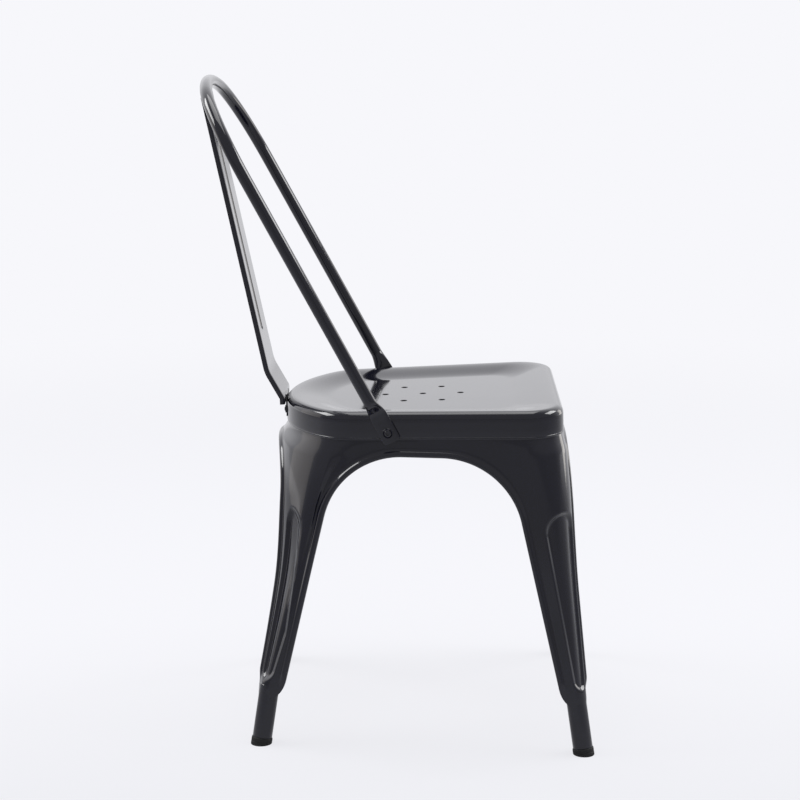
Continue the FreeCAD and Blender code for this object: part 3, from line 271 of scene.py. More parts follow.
def inward(p):
    """Unit vector into the seat from a point of its outline, in plan."""
    x, y = abs(p.x), p.y
    side = 1 if p.x >= 0 else -1
    turn_front = atan2(y - FRONT_C[1], x - FRONT_C[0])
    turn_back = atan2(y - BACK_Y, x)
    if y < FRONT_C[1] and x <= FRONT_C[0] + 1e-6:
        way = -pi / 2
    elif turn_front < TAPER and y < 0:
        way = turn_front
    elif y < REAR_C[1] + REAR_CORNER * sin(TAPER) * 0.999:
        way = TAPER
    elif turn_back >= BACK_TURN - 1e-6:
        way = turn_back
    else:
        way = atan2(y - REAR_C[1], x - REAR_C[0])
    return Vector((-cos(way) * side, -sin(way), 0))


def ring_point(p, heading, inset):
    """The outline point moved in; the dish keeps round front corners of its own."""
    if inset <= RIM_FLAT:
        return p + heading * inset
    side = 1 if p.x >= 0 else -1
    inner = p + heading * DISH_END
    y = -SEAT_FRONT + DISH_END + DISH_CORNER
    x = SEAT_HALF - (DISH_END + DISH_CORNER) / cos(TAPER) - y * tan(TAPER)
    front, rear = FRONT_C[1] + FRONT_CORNER * sin(TAPER), REAR_C[1] + REAR_CORNER * sin(TAPER)
    if p.y < FRONT_C[1] and abs(p.x) <= FRONT_C[0]:
        inner = Vector((p.x * x / FRONT_C[0], y - DISH_CORNER, 0))
    elif p.y < front:
        inner = Vector((x * side, y, 0)) - heading * DISH_CORNER
    elif p.y < rear:
        slide = y + DISH_CORNER * sin(TAPER) - (front - DISH_END * sin(TAPER))
        along = Vector((-sin(TAPER) * side, cos(TAPER), 0)) / cos(TAPER)
        inner += along * slide * (rear - p.y) / (rear - front)
    rim = p + heading * RIM_FLAT
    return rim + (inner - rim) * (inset - RIM_FLAT) / (DISH_END - RIM_FLAT)


def half_outline(bm):
    """The left half of the plan as a run of edges, from the front middle to the rear middle."""

    def run_to(vert, tip, cuts):
        base = vert.co.copy()
        for i in range(1, cuts + 1):
            vert = bmesh.ops.extrude_vert_indiv(bm, verts=[vert])["verts"][0]
            vert.co = base.lerp(tip, i / cuts)
        return vert

    def turn_about(vert, centre, angle, steps):
        made = bmesh.ops.spin(bm, geom=[vert], cent=(*centre, 0), axis=(0, 0, 1), angle=angle, steps=steps,
                              use_duplicate=False)
        return made["geom_last"][0]

    vert = run_to(bm.verts.new((0, -SEAT_FRONT, 0)), Vector((FRONT_C[0], -SEAT_FRONT, 0)), cuts=20)
    vert = turn_about(vert, FRONT_C, pi / 2 + TAPER, steps=26)
    vert = run_to(vert, Vector((*REAR_C, 0)) + toward(TAPER) * REAR_CORNER, cuts=30)
    vert = turn_about(vert, REAR_C, BACK_TURN - TAPER, steps=22)
    turn_about(vert, (0, BACK_Y), pi / 2 - BACK_TURN, steps=16)


def seat_profile():
    """Inset and height of the pressing, from the skirt's lower edge up, over and into the dish."""
    turns = [radians(i * 22.5) for i in range(8)]
    points = [(0.5 - HEM_ROLL * sin(a), -SKIRT + HEM_ROLL - HEM_ROLL * cos(a)) for a in turns]
    points += [(0.05, -SKIRT + 2.4), (0.0, -SKIRT + 3.2), (0.0, -24), (0.0, -14)]
    turns = [radians(i * 9) for i in range(11)]
    points += [(RIM_ROUND - RIM_ROUND * cos(a), -RIM_ROUND + RIM_ROUND * sin(a)) for a in turns]
    cuts = 24
    for t in (i / cuts for i in range(cuts + 1)):
        points.append((lerp(RIM_FLAT, DISH_END, t), -DISH * smooth(t)))
    return points + [(DISH_END + 2, -DISH)]


def seat_pan():
    bm = bmesh.new()
    half_outline(bm)
    bmesh.ops.mirror(bm, geom=all_of(bm), axis="X", merge_dist=0.001)
    bmesh.ops.remove_doubles(bm, verts=bm.verts, dist=0.001)
    order = bm.verts.layers.int.new("order")
    outline, profile = [], seat_profile()
    for i, vert in enumerate(bm.verts):
        outline.append((vert.co.copy(), inward(vert.co)))
        vert[order] = i
        vert.co.z = profile[0][1]
    edges = bm.edges[:]
    for inset, height in profile[1:]:

        def press(vert, inset=inset, height=height):
            return Vector((*ring_point(*outline[vert[order]], inset).to_2d(), height))

        edges = ring_extrude(bm, edges, press)
    # seven drain holes in rows of two, three and two, each with a rolled lip
    rims = []
    for row in (-1, 0, 1):
        for step in (-1, 0, 1) if row == 0 else (-0.5, 0.5):
            centre = Vector((row * HOLE_ROW, step * HOLE_STEP, -DISH))
            hole = bmesh.ops.create_circle(bm, cap_ends=False, segments=36, radius=HOLE_EDGE,
                                           matrix=Matrix.Translation(centre))["verts"]
            rim = edges_at(hole)
            rims += rim
            for radius, drop in HOLE_LIP:

                def tuck(vert, radius=radius, drop=drop, centre=centre):
                    way = (vert.co - centre).to_2d().normalized()
                    return Vector((centre.x + way.x * radius, centre.y + way.y * radius, centre.z - drop))

                rim = ring_extrude(bm, rim, tuck)
    bmesh.ops.triangle_fill(bm, use_beauty=True, use_dissolve=False, edges=edges + rims, normal=(0, 0, 1))
    face_sheet(bm, (0, 0, 1), lambda middle: -middle.z)
    place(bm, SEAT)
    finish_piece(bm, "seat_pan_pressing", PAINT, ["seat_pan"], solid=PAN_THICK)


# Legs. A leg is a ruled sheet between its plan under the seat and its plan round the foot tube.
LEGS = [(corner, side, word) for corner in ("front", "rear") for side, word in ((1, "left"), (-1, "right"))]
SIGN = {"front": -1, "rear": 1}
# a foot's middle on the floor and its tube's lean, then the height and plan where the sheet meets the tube
FOOT_X = {"front": 203.1, "rear": 170.4}
FOOT_Y = 209.2
LEAN_SIDE, LEAN_FORE = radians(6.8), radians(8.4)
LOW = 60.0
LOW_Y = FOOT_Y - tan(LEAN_FORE) * LOW
LOW_R = 25.5 / 2 + 0.4
LOW_TURN = atan((FOOT_X["front"] - FOOT_X["rear"]) / (2 * LOW_Y))
LOW_BACK = 1200.0
# the front and rear sheets meet this far behind the seat's middle
SEAM, SEAM_GAP = 7.0, 0.01
ARCH_INSET, ARCH_FOOT, ARCH_ANGLE = 33.6, 88.0, radians(13)
ARCH_BAND = 24.0
ARCH_ROUND = {"side": 104.0, "front": 104.0, "rear": 78.0}
FLUTE_DEPTH = 5.0
FLUTE_INSET = {"end_front": 12.7, "end_rear": 16.4, "side_front": 12.7, "side_rear": 25.6}
FLUTE_ANGLE = {"end_front": radians(11.1), "end_rear": radians(11.1), "side_front": radians(11.1),
               "side_rear": radians(7.8)}
FLUTE_LOW, FLUTE_HIGH = 84.0, 313.0
FLUTE_HEAD, FLUTE_FOOT = 30.0, {"front": 12.0, "rear": 14.0}
FLUTE_WALL = 6.2
# the rear leg's side edge of the flute leans out again below this height
FLUTE_TURN_LOW, FLUTE_TURN = 150.0, 0.17
# heights where the flute's two ends need finer rows, and the two steps between rows
FLUTE_ENDS = ((76, 98), (296, 322))
FINE_STEP, PLAIN_STEP = 1.1, 3.2
# places across the flute's wall, in millimetres from its edge line
WALL_STEPS = (-2.4, -1.4, -0.6, 0.2, 1.0, 1.9, 2.9, 3.9, 5.0, 6.4)
# the top row stands inside the skirt
SHEET_TOP = {"front": 415.0, "rear": 408.0}
# rows along the top line, which ends this far round the arch
TOP_ROWS, ROUND_SPLIT = 56, radians(38)
# below the arch the edge rounds in to the tube, and the sheet sinks to meet it
TUBE_BEND, TUBE_RUN = 66.0, 28.0
TUBE_SINK, TUBE_SINK_RUN = 0.9, 16.0
# the end face swells under the skirt: how far, from what height and over what run
SWELL = {"front": ((4.4, 200, 170),), "rear": ((9.0, 200, 150), (-3.0, 350, 56))}
SWELL_FADE = 24.0
# the bead dies out towards the tube: its height from 72 mm up, its width over the last 26 mm
BEAD_LOW, BEAD_FADE, LIP_FADE, BEAD_NARROW = 72.0, 22.0, 30.0, 26.0
# the rolled bead along the arch: distance from the edge and height off the sheet
BEAD = [(0.0, -3.2), (0.0, -1.6), (0.02, -0.2), (0.2, 1.1), (0.9, 2.3), (2.1, 3.2), (3.6, 3.6), (5.1, 3.35),
        (6.4, 2.6), (7.4, 1.6), (8.2, 0.75), (9.1, 0.22), (10.4, 0.0)]


def top_point(x, y):
    """A point of the plan at the skirt's lower edge, in the floor frame."""
    return Vector((x, y * cos(TILT) - SKIRT * sin(TILT), SEAT_HEIGHT - y * sin(TILT) - SKIRT * cos(TILT)))


def section(corner, part, u):
    """Top and bottom points of one ruling and the outward direction, for the left leg.

    part is end (front or back face) or side. u runs from the middle or the seam to the
    corner's start at 1, and on round the corner to its middle at 2.
    """
    front, end, sign = corner == "front", part == "end", SIGN[corner]
    c = FRONT_C if front else REAR_C
    r = (FRONT_CORNER if front else REAR_CORNER) - TOP_INSET
    lc = (FOOT_X[corner] - tan(LEAN_SIDE) * LOW, sign * LOW_Y)
    low_back = lc[1] - sqrt((LOW_BACK - LOW_R) ** 2 - lc[0] ** 2)
    back_turn = (-pi / 2, -pi / 2) if front else (BACK_TURN, atan2(lc[1] - low_back, lc[0]))
    if u > 1 or (end and u == 1):
        share = (u - 1) / 2 if end else 1 - (u - 1) / 2
        a, b = lerp(back_turn[0], TAPER, share), lerp(back_turn[1], LOW_TURN, share)
        top = (c[0] + r * cos(a), c[1] + r * sin(a))
        low = (lc[0] + LOW_R * cos(b), lc[1] + LOW_R * sin(b))
        return top_point(*top), Vector((*low, LOW)), toward(a)
    if end and front:
        return top_point(c[0] * u, c[1] - r), Vector((lc[0] * u, lc[1] - LOW_R, LOW)), Vector((0, -1, 0))
    if end:
        a, b = lerp(pi / 2, back_turn[0], u), lerp(pi / 2, back_turn[1], u)
        radius = BACK_CURVE - TOP_INSET
        low = Vector((LOW_BACK * cos(b), low_back + LOW_BACK * sin(b), LOW))
        return top_point(radius * cos(a), BACK_Y + radius * sin(a)), low, toward(a)
    seam = SEAM + sign * SEAM_GAP
    points = []
    for centre, radius, turn in ((c, r, TAPER), (lc, LOW_R, LOW_TURN)):
        corner_x, corner_y = centre[0] + radius * cos(turn), centre[1] + radius * sin(turn)
        seam_x = corner_x - tan(turn) * (seam - corner_y)
        points.append((lerp(seam_x, corner_x, u), lerp(seam, corner_y, u)))
    return top_point(*points[0]), Vector((*points[1], LOW)), toward(TAPER)


def on_sheet(corner, part, u, z):
    """The sheet's point at a height on one ruling, and the outward direction there."""
    top, low, out = section(corner, part, u)
    f = (top.z - z) / (top.z - LOW)
    if f < 0:
        return top + Vector((0, 0, z - top.z)), out
    return top.lerp(low, f), out


def seen_reach(corner, part, p):
    return p.x if part == "end" else p.y * SIGN[corner]


def on_face(corner, part, reach, z):
    """The sheet's point seen at a reach from the middle and a height, on a face and its corner."""
    low, high = -0.08, 2.0
    for _ in range(28):
        u = (low + high) / 2
        p, out = on_sheet(corner, part, u, z)
        if seen_reach(corner, part, p) < reach:
            low = u
        else:
            high = u
    return p, out


class Arch:
    """The arch's edge on one face, in reach and height, from the middle to the foot."""

    def __init__(self, corner, part):
        self.foot = FOOT_X[corner] if part == "end" else FOOT_Y
        lean = LEAN_SIDE if part == "end" else LEAN_FORE
        self.radius = ARCH_ROUND["side" if part == "side" else corner]
        if part == "side":
            y, self.start = SEAM, SEAM_GAP + SEAM * SIGN[corner]
        else:
            y, self.start = -SEAT_FRONT if corner == "front" else SEAT_REAR, SEAM_GAP
        self.top = SEAT_HEIGHT - SKIRT * cos(TILT) - y * sin(TILT) - ARCH_BAND
        self.cz = self.top - self.radius
        self.cr = self.line(self.cz) - self.radius / cos(ARCH_ANGLE)
        self.last = pi / 2 - ARCH_ANGLE
        self.tip = (self.foot - tan(lean) * LOW, LOW)

    def line(self, z):
        return self.foot - ARCH_INSET - tan(ARCH_ANGLE) * (z - ARCH_FOOT)

    def flat(self, t):
        """Along the flat top, t from 0 at the middle to 1 where the round starts."""
        return (lerp(self.start, self.cr, t), self.top), (0.0, 1.0)

    def bend(self, a):
        return ((self.cr + self.radius * sin(a), self.cz + self.radius * cos(a)), (sin(a), cos(a)))

    def leg(self, t):
        """Down the leg's edge, t from 0 at the round's end to 1 at the foot's slant."""
        high = self.cz + self.radius * cos(self.last)
        z = lerp(high, ARCH_FOOT, t)
        return (self.line(z), z), (cos(ARCH_ANGLE), sin(ARCH_ANGLE))

    def slant(self, t):
        """The leg's edge rounding in to the tube below the foot of the arch."""
        base, bend, tip = (Vector(at) for at in (
            (self.line(ARCH_FOOT), ARCH_FOOT), (self.line(TUBE_BEND), TUBE_BEND), self.tip))
        p = base.lerp(bend, t).lerp(bend.lerp(tip, t), t)
        way = (bend - base).lerp(tip - bend, t).normalized()
        return tuple(p), (-way.y, way.x)


def rounded_corner(a, b, radius):
    """Signed distance inside two half planes whose shared corner is rounded."""
    if a > -radius and b > -radius:
        return sqrt((a + radius) ** 2 + (b + radius) ** 2) - radius
    return max(a, b)


def flute_side(corner, part, reach, z):
    """Signed distance to the flute's edge line on one face: below zero inside the flute."""
    key = part + "_" + corner
    foot = FOOT_X[corner] if part == "end" else FOOT_Y
    angle = FLUTE_ANGLE[key]
    turn = FLUTE_TURN * max(0.0, FLUTE_TURN_LOW - z) if key == "side_rear" else 0.0
    return (foot - FLUTE_INSET[key] - tan(angle) * (z - FLUTE_LOW) + turn - reach) * cos(angle)


def flute_gap(corner, p):
    """Signed distance to the flute's outline: below zero inside the flute."""
    high, low = p.z - FLUTE_HIGH, FLUTE_LOW - p.z
    worst = -99.0
    for part, reach in (("end", p.x), ("side", abs(p.y))):
        inside = flute_side(corner, part, reach, p.z)
        worst = max(worst, rounded_corner(inside, high, FLUTE_HEAD),
                    rounded_corner(inside, low, FLUTE_FOOT[corner]))
    return worst


def pressed(corner, p, out, rise):
    """Move a point out by its bead height, and in by the flute and towards the tube."""
    sink = FLUTE_DEPTH * smooth((1.0 - flute_gap(corner, p)) / FLUTE_WALL)
    sink += TUBE_SINK * smooth((LOW + TUBE_SINK_RUN - p.z) / TUBE_SINK_RUN)
    return p + out * (rise - sink)


def top_gap(corner, p):
    """How far a point lies below the skirt's lower edge."""
    return SEAT_HEIGHT - abs(p.y) * SIGN[corner] * sin(TILT) - SKIRT * cos(TILT) - p.z


def swelling(corner, z):
    """How far the end face swells at a height."""
    return sum(rise * smooth((z - low) / run) for rise, low, run in SWELL[corner])


def corner_heights(corner):
    """Heights down the corner from inside the skirt, closer together at the flute's two ends."""
    heights, z = [], SHEET_TOP[corner]
    while z > LOW:
        heights.append(z)
        z -= FINE_STEP if any(low < z < high for low, high in FLUTE_ENDS) else PLAIN_STEP
    return heights + [LOW]


def leg_sheet(bm, corner):
    """Two grids, each from one face's arch edge to the middle of the corner."""
    heights = corner_heights(corner)
    down, along, split = len(heights), TOP_ROWS, ROUND_SPLIT
    for part in ("end", "side"):
        arch = Arch(corner, part)
        leg_top = arch.cz + arch.radius * cos(arch.last)
        lengths = (arch.radius * (arch.last - split), leg_top - ARCH_FOOT, TUBE_RUN)

        def edge_at(j):
            """Arch edge point and its normal at row j."""
            if j < along:
                flat = max(arch.cr - arch.start, 1.0)
                run = j / along * (flat + arch.radius * split)
                return arch.flat(run / flat) if run < flat else arch.bend((run - flat) / arch.radius)
            run = (j - along) / (down - 1) * sum(lengths)
            if run < lengths[0]:
                return arch.bend(split + run / arch.radius)
            run -= lengths[0]
            if run < lengths[1]:
                return arch.leg(run / lengths[1])
            return arch.slant((run - lengths[1]) / lengths[2])

        def far_end(j):
            """Where row j ends: along the top line, then down the middle of the corner."""
            z = heights[max(0, j - along)]
            p, out = on_sheet(corner, part, min(2.0, 2.0 * j / along), z)
            return p, out, seen_reach(corner, part, p)

        def shares(near, far):
            """Places along one row, as shares from the bead to the corner's middle."""
            def clear(t):
                return flute_side(corner, part, lerp(near[0], far[0], t), lerp(near[1], far[1], t))

            run = sqrt((far[0] - near[0]) ** 2 + (far[1] - near[1]) ** 2)
            edge = clear(0) / max(clear(0) - clear(1), 0.001)
            fine = [edge + w / run for w in WALL_STEPS]
            last = min(0.94, fine[-1])
            first = min(max(0.06, fine[0]), last - 0.02)
            fine = [min(last, max(first, f)) for f in fine]
            # a small even part keeps every two places apart
            even = [lerp(first, last, k / (len(fine) - 1)) for k in range(len(fine))]
            fine = [lerp(f, e, 0.02) for f, e in zip(fine, even)]
            before = [first * (k + 1) / 9 for k in range(8)]
            after = [lerp(last, 1.0, (k + 1) / 10) for k in range(10)]
            return before + fine + after

        rows = []
        for j in range(along + down):
            (r, z), normal = edge_at(j)
            tip, tip_out, tip_reach = far_end(j)
            width = min(1.0, max(0.1, (z - LOW) / BEAD_NARROW + 0.1))
            near = (r + normal[0] * BEAD[-1][0] * width, z + normal[1] * BEAD[-1][0] * width)
            rows.append(((r, z), normal, width, near, (tip_reach, tip.z), tip, tip_out))
        fixed = shares(rows[along][3], rows[along][4])
        columns, count = len(BEAD) + len(fixed), along + down
        share_rows = [fixed if j < along else shares(rows[j][3], rows[j][4]) for j in range(count)]
        for vert, i, j in sheet_grid(bm, columns, count):
            (r, z), normal, width, near, far, tip, tip_out = rows[j]
            if i < len(BEAD):
                step, rise = BEAD[i]
                rise *= smooth((z - BEAD_LOW) / BEAD_FADE) if rise > 0 else smooth((z - LOW) / LIP_FADE)
                p, out = on_face(corner, part, r + normal[0] * step * width, z + normal[1] * step * width)
                t = 0.0
            elif i == columns - 1:
                p, out, rise, t = tip, tip_out, 0.0, 1.0
            else:
                t = share_rows[j][i - len(BEAD)]
                p, out = on_face(corner, part, lerp(near[0], far[0], t), lerp(near[1], far[1], t))
                rise = 0.0
            # the swelling fades out up to the skirt and round the corner towards the side face
            swell = 1 - 0.55 * smooth(t) if part == "end" else 0.45 * smooth(1.4 * t - 0.4)
            fade = smooth(max(0.0, top_gap(corner, p)) / SWELL_FADE)
            vert.co = pressed(corner, p, out, rise + swelling(corner, p.z) * swell * fade)


def foot_axis(corner):
    """From a part's own upright axis to the left foot's leaning one."""
    base = Vector((FOOT_X[corner], FOOT_Y * SIGN[corner], 0))
    way = Vector((-tan(LEAN_SIDE), -tan(LEAN_FORE) * SIGN[corner], 1)).normalized()
    return Matrix.Translation(base) @ Vector((0, 0, 1)).rotation_difference(way).to_matrix().to_4x4()


def legs():
    for corner, side, word in LEGS:
        bm = bmesh.new()
        leg_sheet(bm, corner)
        bmesh.ops.remove_doubles(bm, verts=bm.verts, dist=0.003)
        face_sheet(bm, (1, 0, 0), lambda middle: -middle.x)
        to_side(bm, side)
        node_name = "leg_%s_%s" % (corner, word)
        finish_piece(bm, node_name + "_pressing", PAINT, [node_name], solid=LEG_THICK, sharp=60)
        foot_tube(corner, side, word)


# the foot tube's outer and inner radius, and its profile up from and down from its lowest ring
FOOT_TUBE, FOOT_BORE, FOOT_RING = 12.75, 11.25, 9.3
FOOT_UP = ((FOOT_TUBE, 30), (FOOT_TUBE, 55), (FOOT_TUBE, 78.5), (12.3, 79), (FOOT_BORE, 79), (FOOT_BORE, 60))
FOOT_DOWN = ((12.5, 8.8), (11.9, 8.6), (11.3, 8.7), (FOOT_BORE, 30))


def foot_tube(corner, side, word):
    """The round tube welded into the leg's lower end, open below for its glide."""
    bm = bmesh.new()
    ring = bmesh.ops.create_circle(bm, cap_ends=False, segments=FACETS, radius=FOOT_TUBE)["verts"]
    place(bm, Matrix.Translation((0, 0, FOOT_RING)))

    def turned(edges, profile):
        for radius, height in profile:
            edges = ring_extrude(
                bm, edges, lambda vert: Vector((*(vert.co.to_2d().normalized() * radius), height)))

    turned(edges_at(ring), FOOT_UP)
    turned([e for e in bm.edges if e.is_boundary and all(abs(v.co.z - FOOT_RING) < 0.01 for v in e.verts)],
           FOOT_DOWN)
    place(bm, foot_axis(corner))
    to_side(bm, side)
    finish_piece(bm, "foot_tube_%s_%s" % (corner, word), PAINT)


# Back hoop: one tube bent in a plane that leans back, its ends pressed flat against the skirt.
HOOP_LEAN = radians(26.95)
BOLT_BACK, BOLT_DROP = 44.0, 25.7
BOLT_SIDE = SEAT_HALF - tan(TAPER) * BOLT_BACK
HOOP_HALF, HOOP_HALF_TOP, HOOP_ARM, HOOP_ROUND, HOOP_RISE = 174.0, 170.0, 367.0, 123.0, 494.8
TUBE = 7.94
TUBE_START, TONGUE_RUN, TONGUE_END = 50.0, 24.0, 13.0
TONGUE_WIDE, TONGUE_THICK, TONGUE_CORNER = 23.0, 4.4, 3.2
# rises of the flattened tongue's rings, down to its rounded end
TONGUE_RISES = (16, 8, 0, -5, -9.5, -11.2, -12.3, -12.9)
# how square the tongue's section is: 1 is round
TONGUE_SQUARE = 0.45
HOOP = SEAT @ Matrix.Translation((0, BOLT_BACK, -BOLT_DROP)) @ Matrix.Rotation(pi / 2 - HOOP_LEAN, 4, "X")
ARM_SLOPE = (HOOP_HALF - HOOP_HALF_TOP) / HOOP_ARM
ARM_TURN = atan(ARM_SLOPE)
BEND_C = (HOOP_HALF_TOP - HOOP_ROUND * cos(ARM_TURN), HOOP_ARM - HOOP_ROUND * sin(ARM_TURN))
CROWN_GAP = HOOP_RISE - BEND_C[1]
CROWN_R = (BEND_C[0] ** 2 + CROWN_GAP ** 2 - HOOP_ROUND ** 2) / (2 * (CROWN_GAP - HOOP_ROUND))
CROWN_Y = HOOP_RISE - CROWN_R
CROWN_TURN = atan2(BEND_C[1] - CROWN_Y, BEND_C[0])


def back_hoop():
    bm = bmesh.new()
    turn = bm.verts.layers.float.new("turn")
    start = Vector((HOOP_HALF - ARM_SLOPE * TUBE_START, TUBE_START, 0))
    way = Vector((-ARM_SLOPE, 1, 0)).normalized()
    ring = bmesh.ops.create_circle(bm, cap_ends=False, segments=FACETS, radius=TUBE)["verts"]
    for vert in ring:
        vert[turn] = atan2(vert.co.y, vert.co.x)
    stand = Matrix.Rotation(ARM_TURN, 4, "Z") @ Matrix.Rotation(-pi / 2, 4, "X")
    place(bm, Matrix.Translation(start) @ stand)
    first = edges_at(ring)

    # The flattened end, worked down from the first ring in the hoop's own plane.
    to_plane = Matrix.Rotation(HOOP_LEAN - pi / 2, 3, "X")
    wall = (to_plane @ toward(TAPER)).normalized()
    bolt = Vector((BOLT_SIDE, 0, 0))
    grain = (Vector((0, 1, 0)) - wall * wall.y).normalized()
    arm_side, arm_wide = stand.to_3x3() @ Vector((1, 0, 0)), stand.to_3x3() @ Vector((0, 1, 0))
    wall_wide = wall.cross(grain)
    if wall_wide.dot(arm_wide) < 0:
        wall_wide = -wall_wide
    low = first
    stations = [(lerp(TUBE_START, TONGUE_RUN, i / 16), i / 16) for i in range(1, 17)]
    stations += [(rise, 1.0) for rise in TONGUE_RISES]
    for rise, done in stations:
        press = smooth(done)
        tongue = bolt + grain * rise + wall * (TONGUE_THICK / 2)
        base = (start + way * (rise - TUBE_START)).lerp(tongue, press)
        side = arm_side.lerp(wall, press).normalized()
        wide = arm_wide.lerp(wall_wide, press).normalized()
        short = max(0.0, TONGUE_CORNER - (rise + TONGUE_END))
        inset = TONGUE_CORNER - sqrt(TONGUE_CORNER ** 2 - short ** 2)
        half_w = lerp(TUBE, TONGUE_WIDE / 2, press) - inset
        half_t = lerp(TUBE, TONGUE_THICK / 2, press)
        square = lerp(1.0, TONGUE_SQUARE, press)

        def pinch(vert):
            c, s = cos(vert[turn]), sin(vert[turn])
            thick = half_t * abs(c) ** square * (1 if c >= 0 else -1)
            across = half_w * abs(s) ** square * (1 if s >= 0 else -1)
            return base + side * thick + wide * across

        low = ring_extrude(bm, low, pinch)
    bmesh.ops.contextual_create(bm, geom=low)

    # The straight arm, its corner bend and half of the crown.
    edges = first
    length = (BEND_C[1] + HOOP_ROUND * sin(ARM_TURN) - TUBE_START) / way.y
    cuts = 8
    for _ in range(cuts):
        edges = ring_extrude(bm, edges, lambda vert: vert.co + way * (length / cuts))
    corner, crown = (BEND_C, CROWN_TURN - ARM_TURN, 44), ((0, CROWN_Y), pi / 2 - CROWN_TURN, 20)
    for centre, angle, steps in (corner, crown):
        verts = list(dict.fromkeys(vert for edge in edges for vert in edge.verts))
        made = bmesh.ops.spin(bm, geom=edges + verts, cent=(*centre, 0), axis=(0, 0, 1), angle=angle,
                              steps=steps)
        edges = edges_in(made["geom_last"])
    bmesh.ops.mirror(bm, geom=all_of(bm), axis="X", merge_dist=0.005)
    place(bm, HOOP)
    finish_piece(bm, "back_hoop_tube", PAINT, ["back_hoop"], sharp=50)


# Back splat: a pressed channel with an embossed panel, out over the rim and up to the crown.
SPLAT_HALF, SPLAT_FLANGE, SPLAT_THICK = 48.0, 6.5, 1.5
KNEE = (201.5, 36.5)
FOOT = (182.5, 0.5)
FOOT_BEND, KNEE_BEND, SPLAT_BEHIND = 9.0, 45.0, 3.0
TAB_HALF, TAB_DROP, TAB_CORNER = 22.0, 31.0, 6.0
PANEL_HALF, PANEL_RISE, PANEL_LOW, PANEL_HIGH = 17.0, 1.2, 50.0, 345.0
PANEL_CORNER, PANEL_WALL, SPLAT_EDGE = 9.0, 2.6, 2.6
SPLAT_BOLT_X, SPLAT_BOLT_DROP = 15.0, 21.0
BRACE_DROP, BRACE_THICK = 24.0, 3.0
RIVET_GRIP, RIVET_SHANK, RIVET_HEAD, RIVET_RISE = 6.0, 3.0, 12.0, 2.6
CROSS_Y = lerp(FRONT_C[1], REAR_C[1], FRONT_C[0] / (FRONT_C[0] + REAR_C[0]))
HOOP_TOP = (BOLT_BACK + HOOP_RISE * sin(HOOP_LEAN), HOOP_RISE * cos(HOOP_LEAN) - BOLT_DROP)
REACH = sqrt((HOOP_TOP[0] - KNEE[0]) ** 2 + (HOOP_TOP[1] - KNEE[1]) ** 2)
SPLAT_TURN = atan2(HOOP_TOP[0] - KNEE[0], HOOP_TOP[1] - KNEE[1]) + asin(SPLAT_BEHIND / REACH)
SLANT = atan2(KNEE[0] - FOOT[0], KNEE[1] - FOOT[1])


def splat_line():
    """Stations up the front face: (y, z, turn from upright, rise above the knee)."""
    rows = []

    def straight(start, end, turn, cuts):
        for f in (i / cuts for i in range(cuts + 1)):
            rows.append((lerp(start[0], end[0], f), lerp(start[1], end[1], f), turn, 0.0))

    def bend(at, before, after, radius, steps):
        back = radius * tan(abs(after - before) / 2)
        start = (at[0] - back * sin(before), at[1] - back * cos(before))
        side = 1 if after > before else -1
        centre = (start[0] + side * radius * cos(before), start[1] - side * radius * sin(before))
        for i in range(1, steps):
            a = lerp(before, after, i / steps)
            rows.append((centre[0] - side * radius * cos(a), centre[1] + side * radius * sin(a), a, 0.0))
        return at[0] + back * sin(after), at[1] + back * cos(after)

    low = (FOOT[0], FOOT[1] - FOOT_BEND)
    back = FOOT_BEND * tan(SLANT / 2)
    straight(low, (FOOT[0], FOOT[1] - back), 0, cuts=4)
    out = bend(FOOT, 0, SLANT, FOOT_BEND, steps=8)
    knee_back = KNEE_BEND * tan((SLANT - SPLAT_TURN) / 2)
    into = (KNEE[0] - knee_back * sin(SLANT), KNEE[1] - knee_back * cos(SLANT))
    straight(out, into, SLANT, cuts=6)
    bend(KNEE, SLANT, SPLAT_TURN, KNEE_BEND, steps=10)
    rises = [knee_back]
    while rises[-1] < REACH - 3:
        r = rises[-1]
        near = abs(r - PANEL_LOW) < 12 or abs(r - PANEL_HIGH) < 12
        rises.append(r + (0.9 if near else 5.0))
    rises.append(REACH)
    for r in rises:
        rows.append((KNEE[0] + r * sin(SPLAT_TURN), KNEE[1] + r * cos(SPLAT_TURN), SPLAT_TURN, r))
    return rows


def splat_section():
    """Across the splat: (x, depth behind the front face), with rolled edges and flanges."""
    bend, turns = SPLAT_EDGE, [radians(i * 15) for i in range(7)]
    half = [(SPLAT_HALF, SPLAT_FLANGE), (SPLAT_HALF, 5.2), (SPLAT_HALF, 3.8)]
    half += [(SPLAT_HALF - bend + bend * cos(a), bend - bend * sin(a)) for a in turns]
    x = SPLAT_HALF - bend
    while x > 0.5:
        near = abs(x - PANEL_HALF) < 4
        x -= 0.55 if near else 2.6
        half.append((max(x, 0.0), 0.0))
    if half[-1][0] > 0:
        half.append((0.0, 0.0))
    return half + [(-x, d) for x, d in reversed(half[:-1])]


def panel_rise(x, rise):
    """How far the embossed panel stands forward."""
    radius = PANEL_CORNER
    qx = abs(x) - (PANEL_HALF - radius)
    qy = abs(rise - (PANEL_LOW + PANEL_HIGH) / 2) - ((PANEL_HIGH - PANEL_LOW) / 2 - radius)
    gap = sqrt(max(qx, 0) ** 2 + max(qy, 0) ** 2) + min(max(qx, qy), 0) - radius
    return PANEL_RISE * smooth((0.2 - gap) / PANEL_WALL)


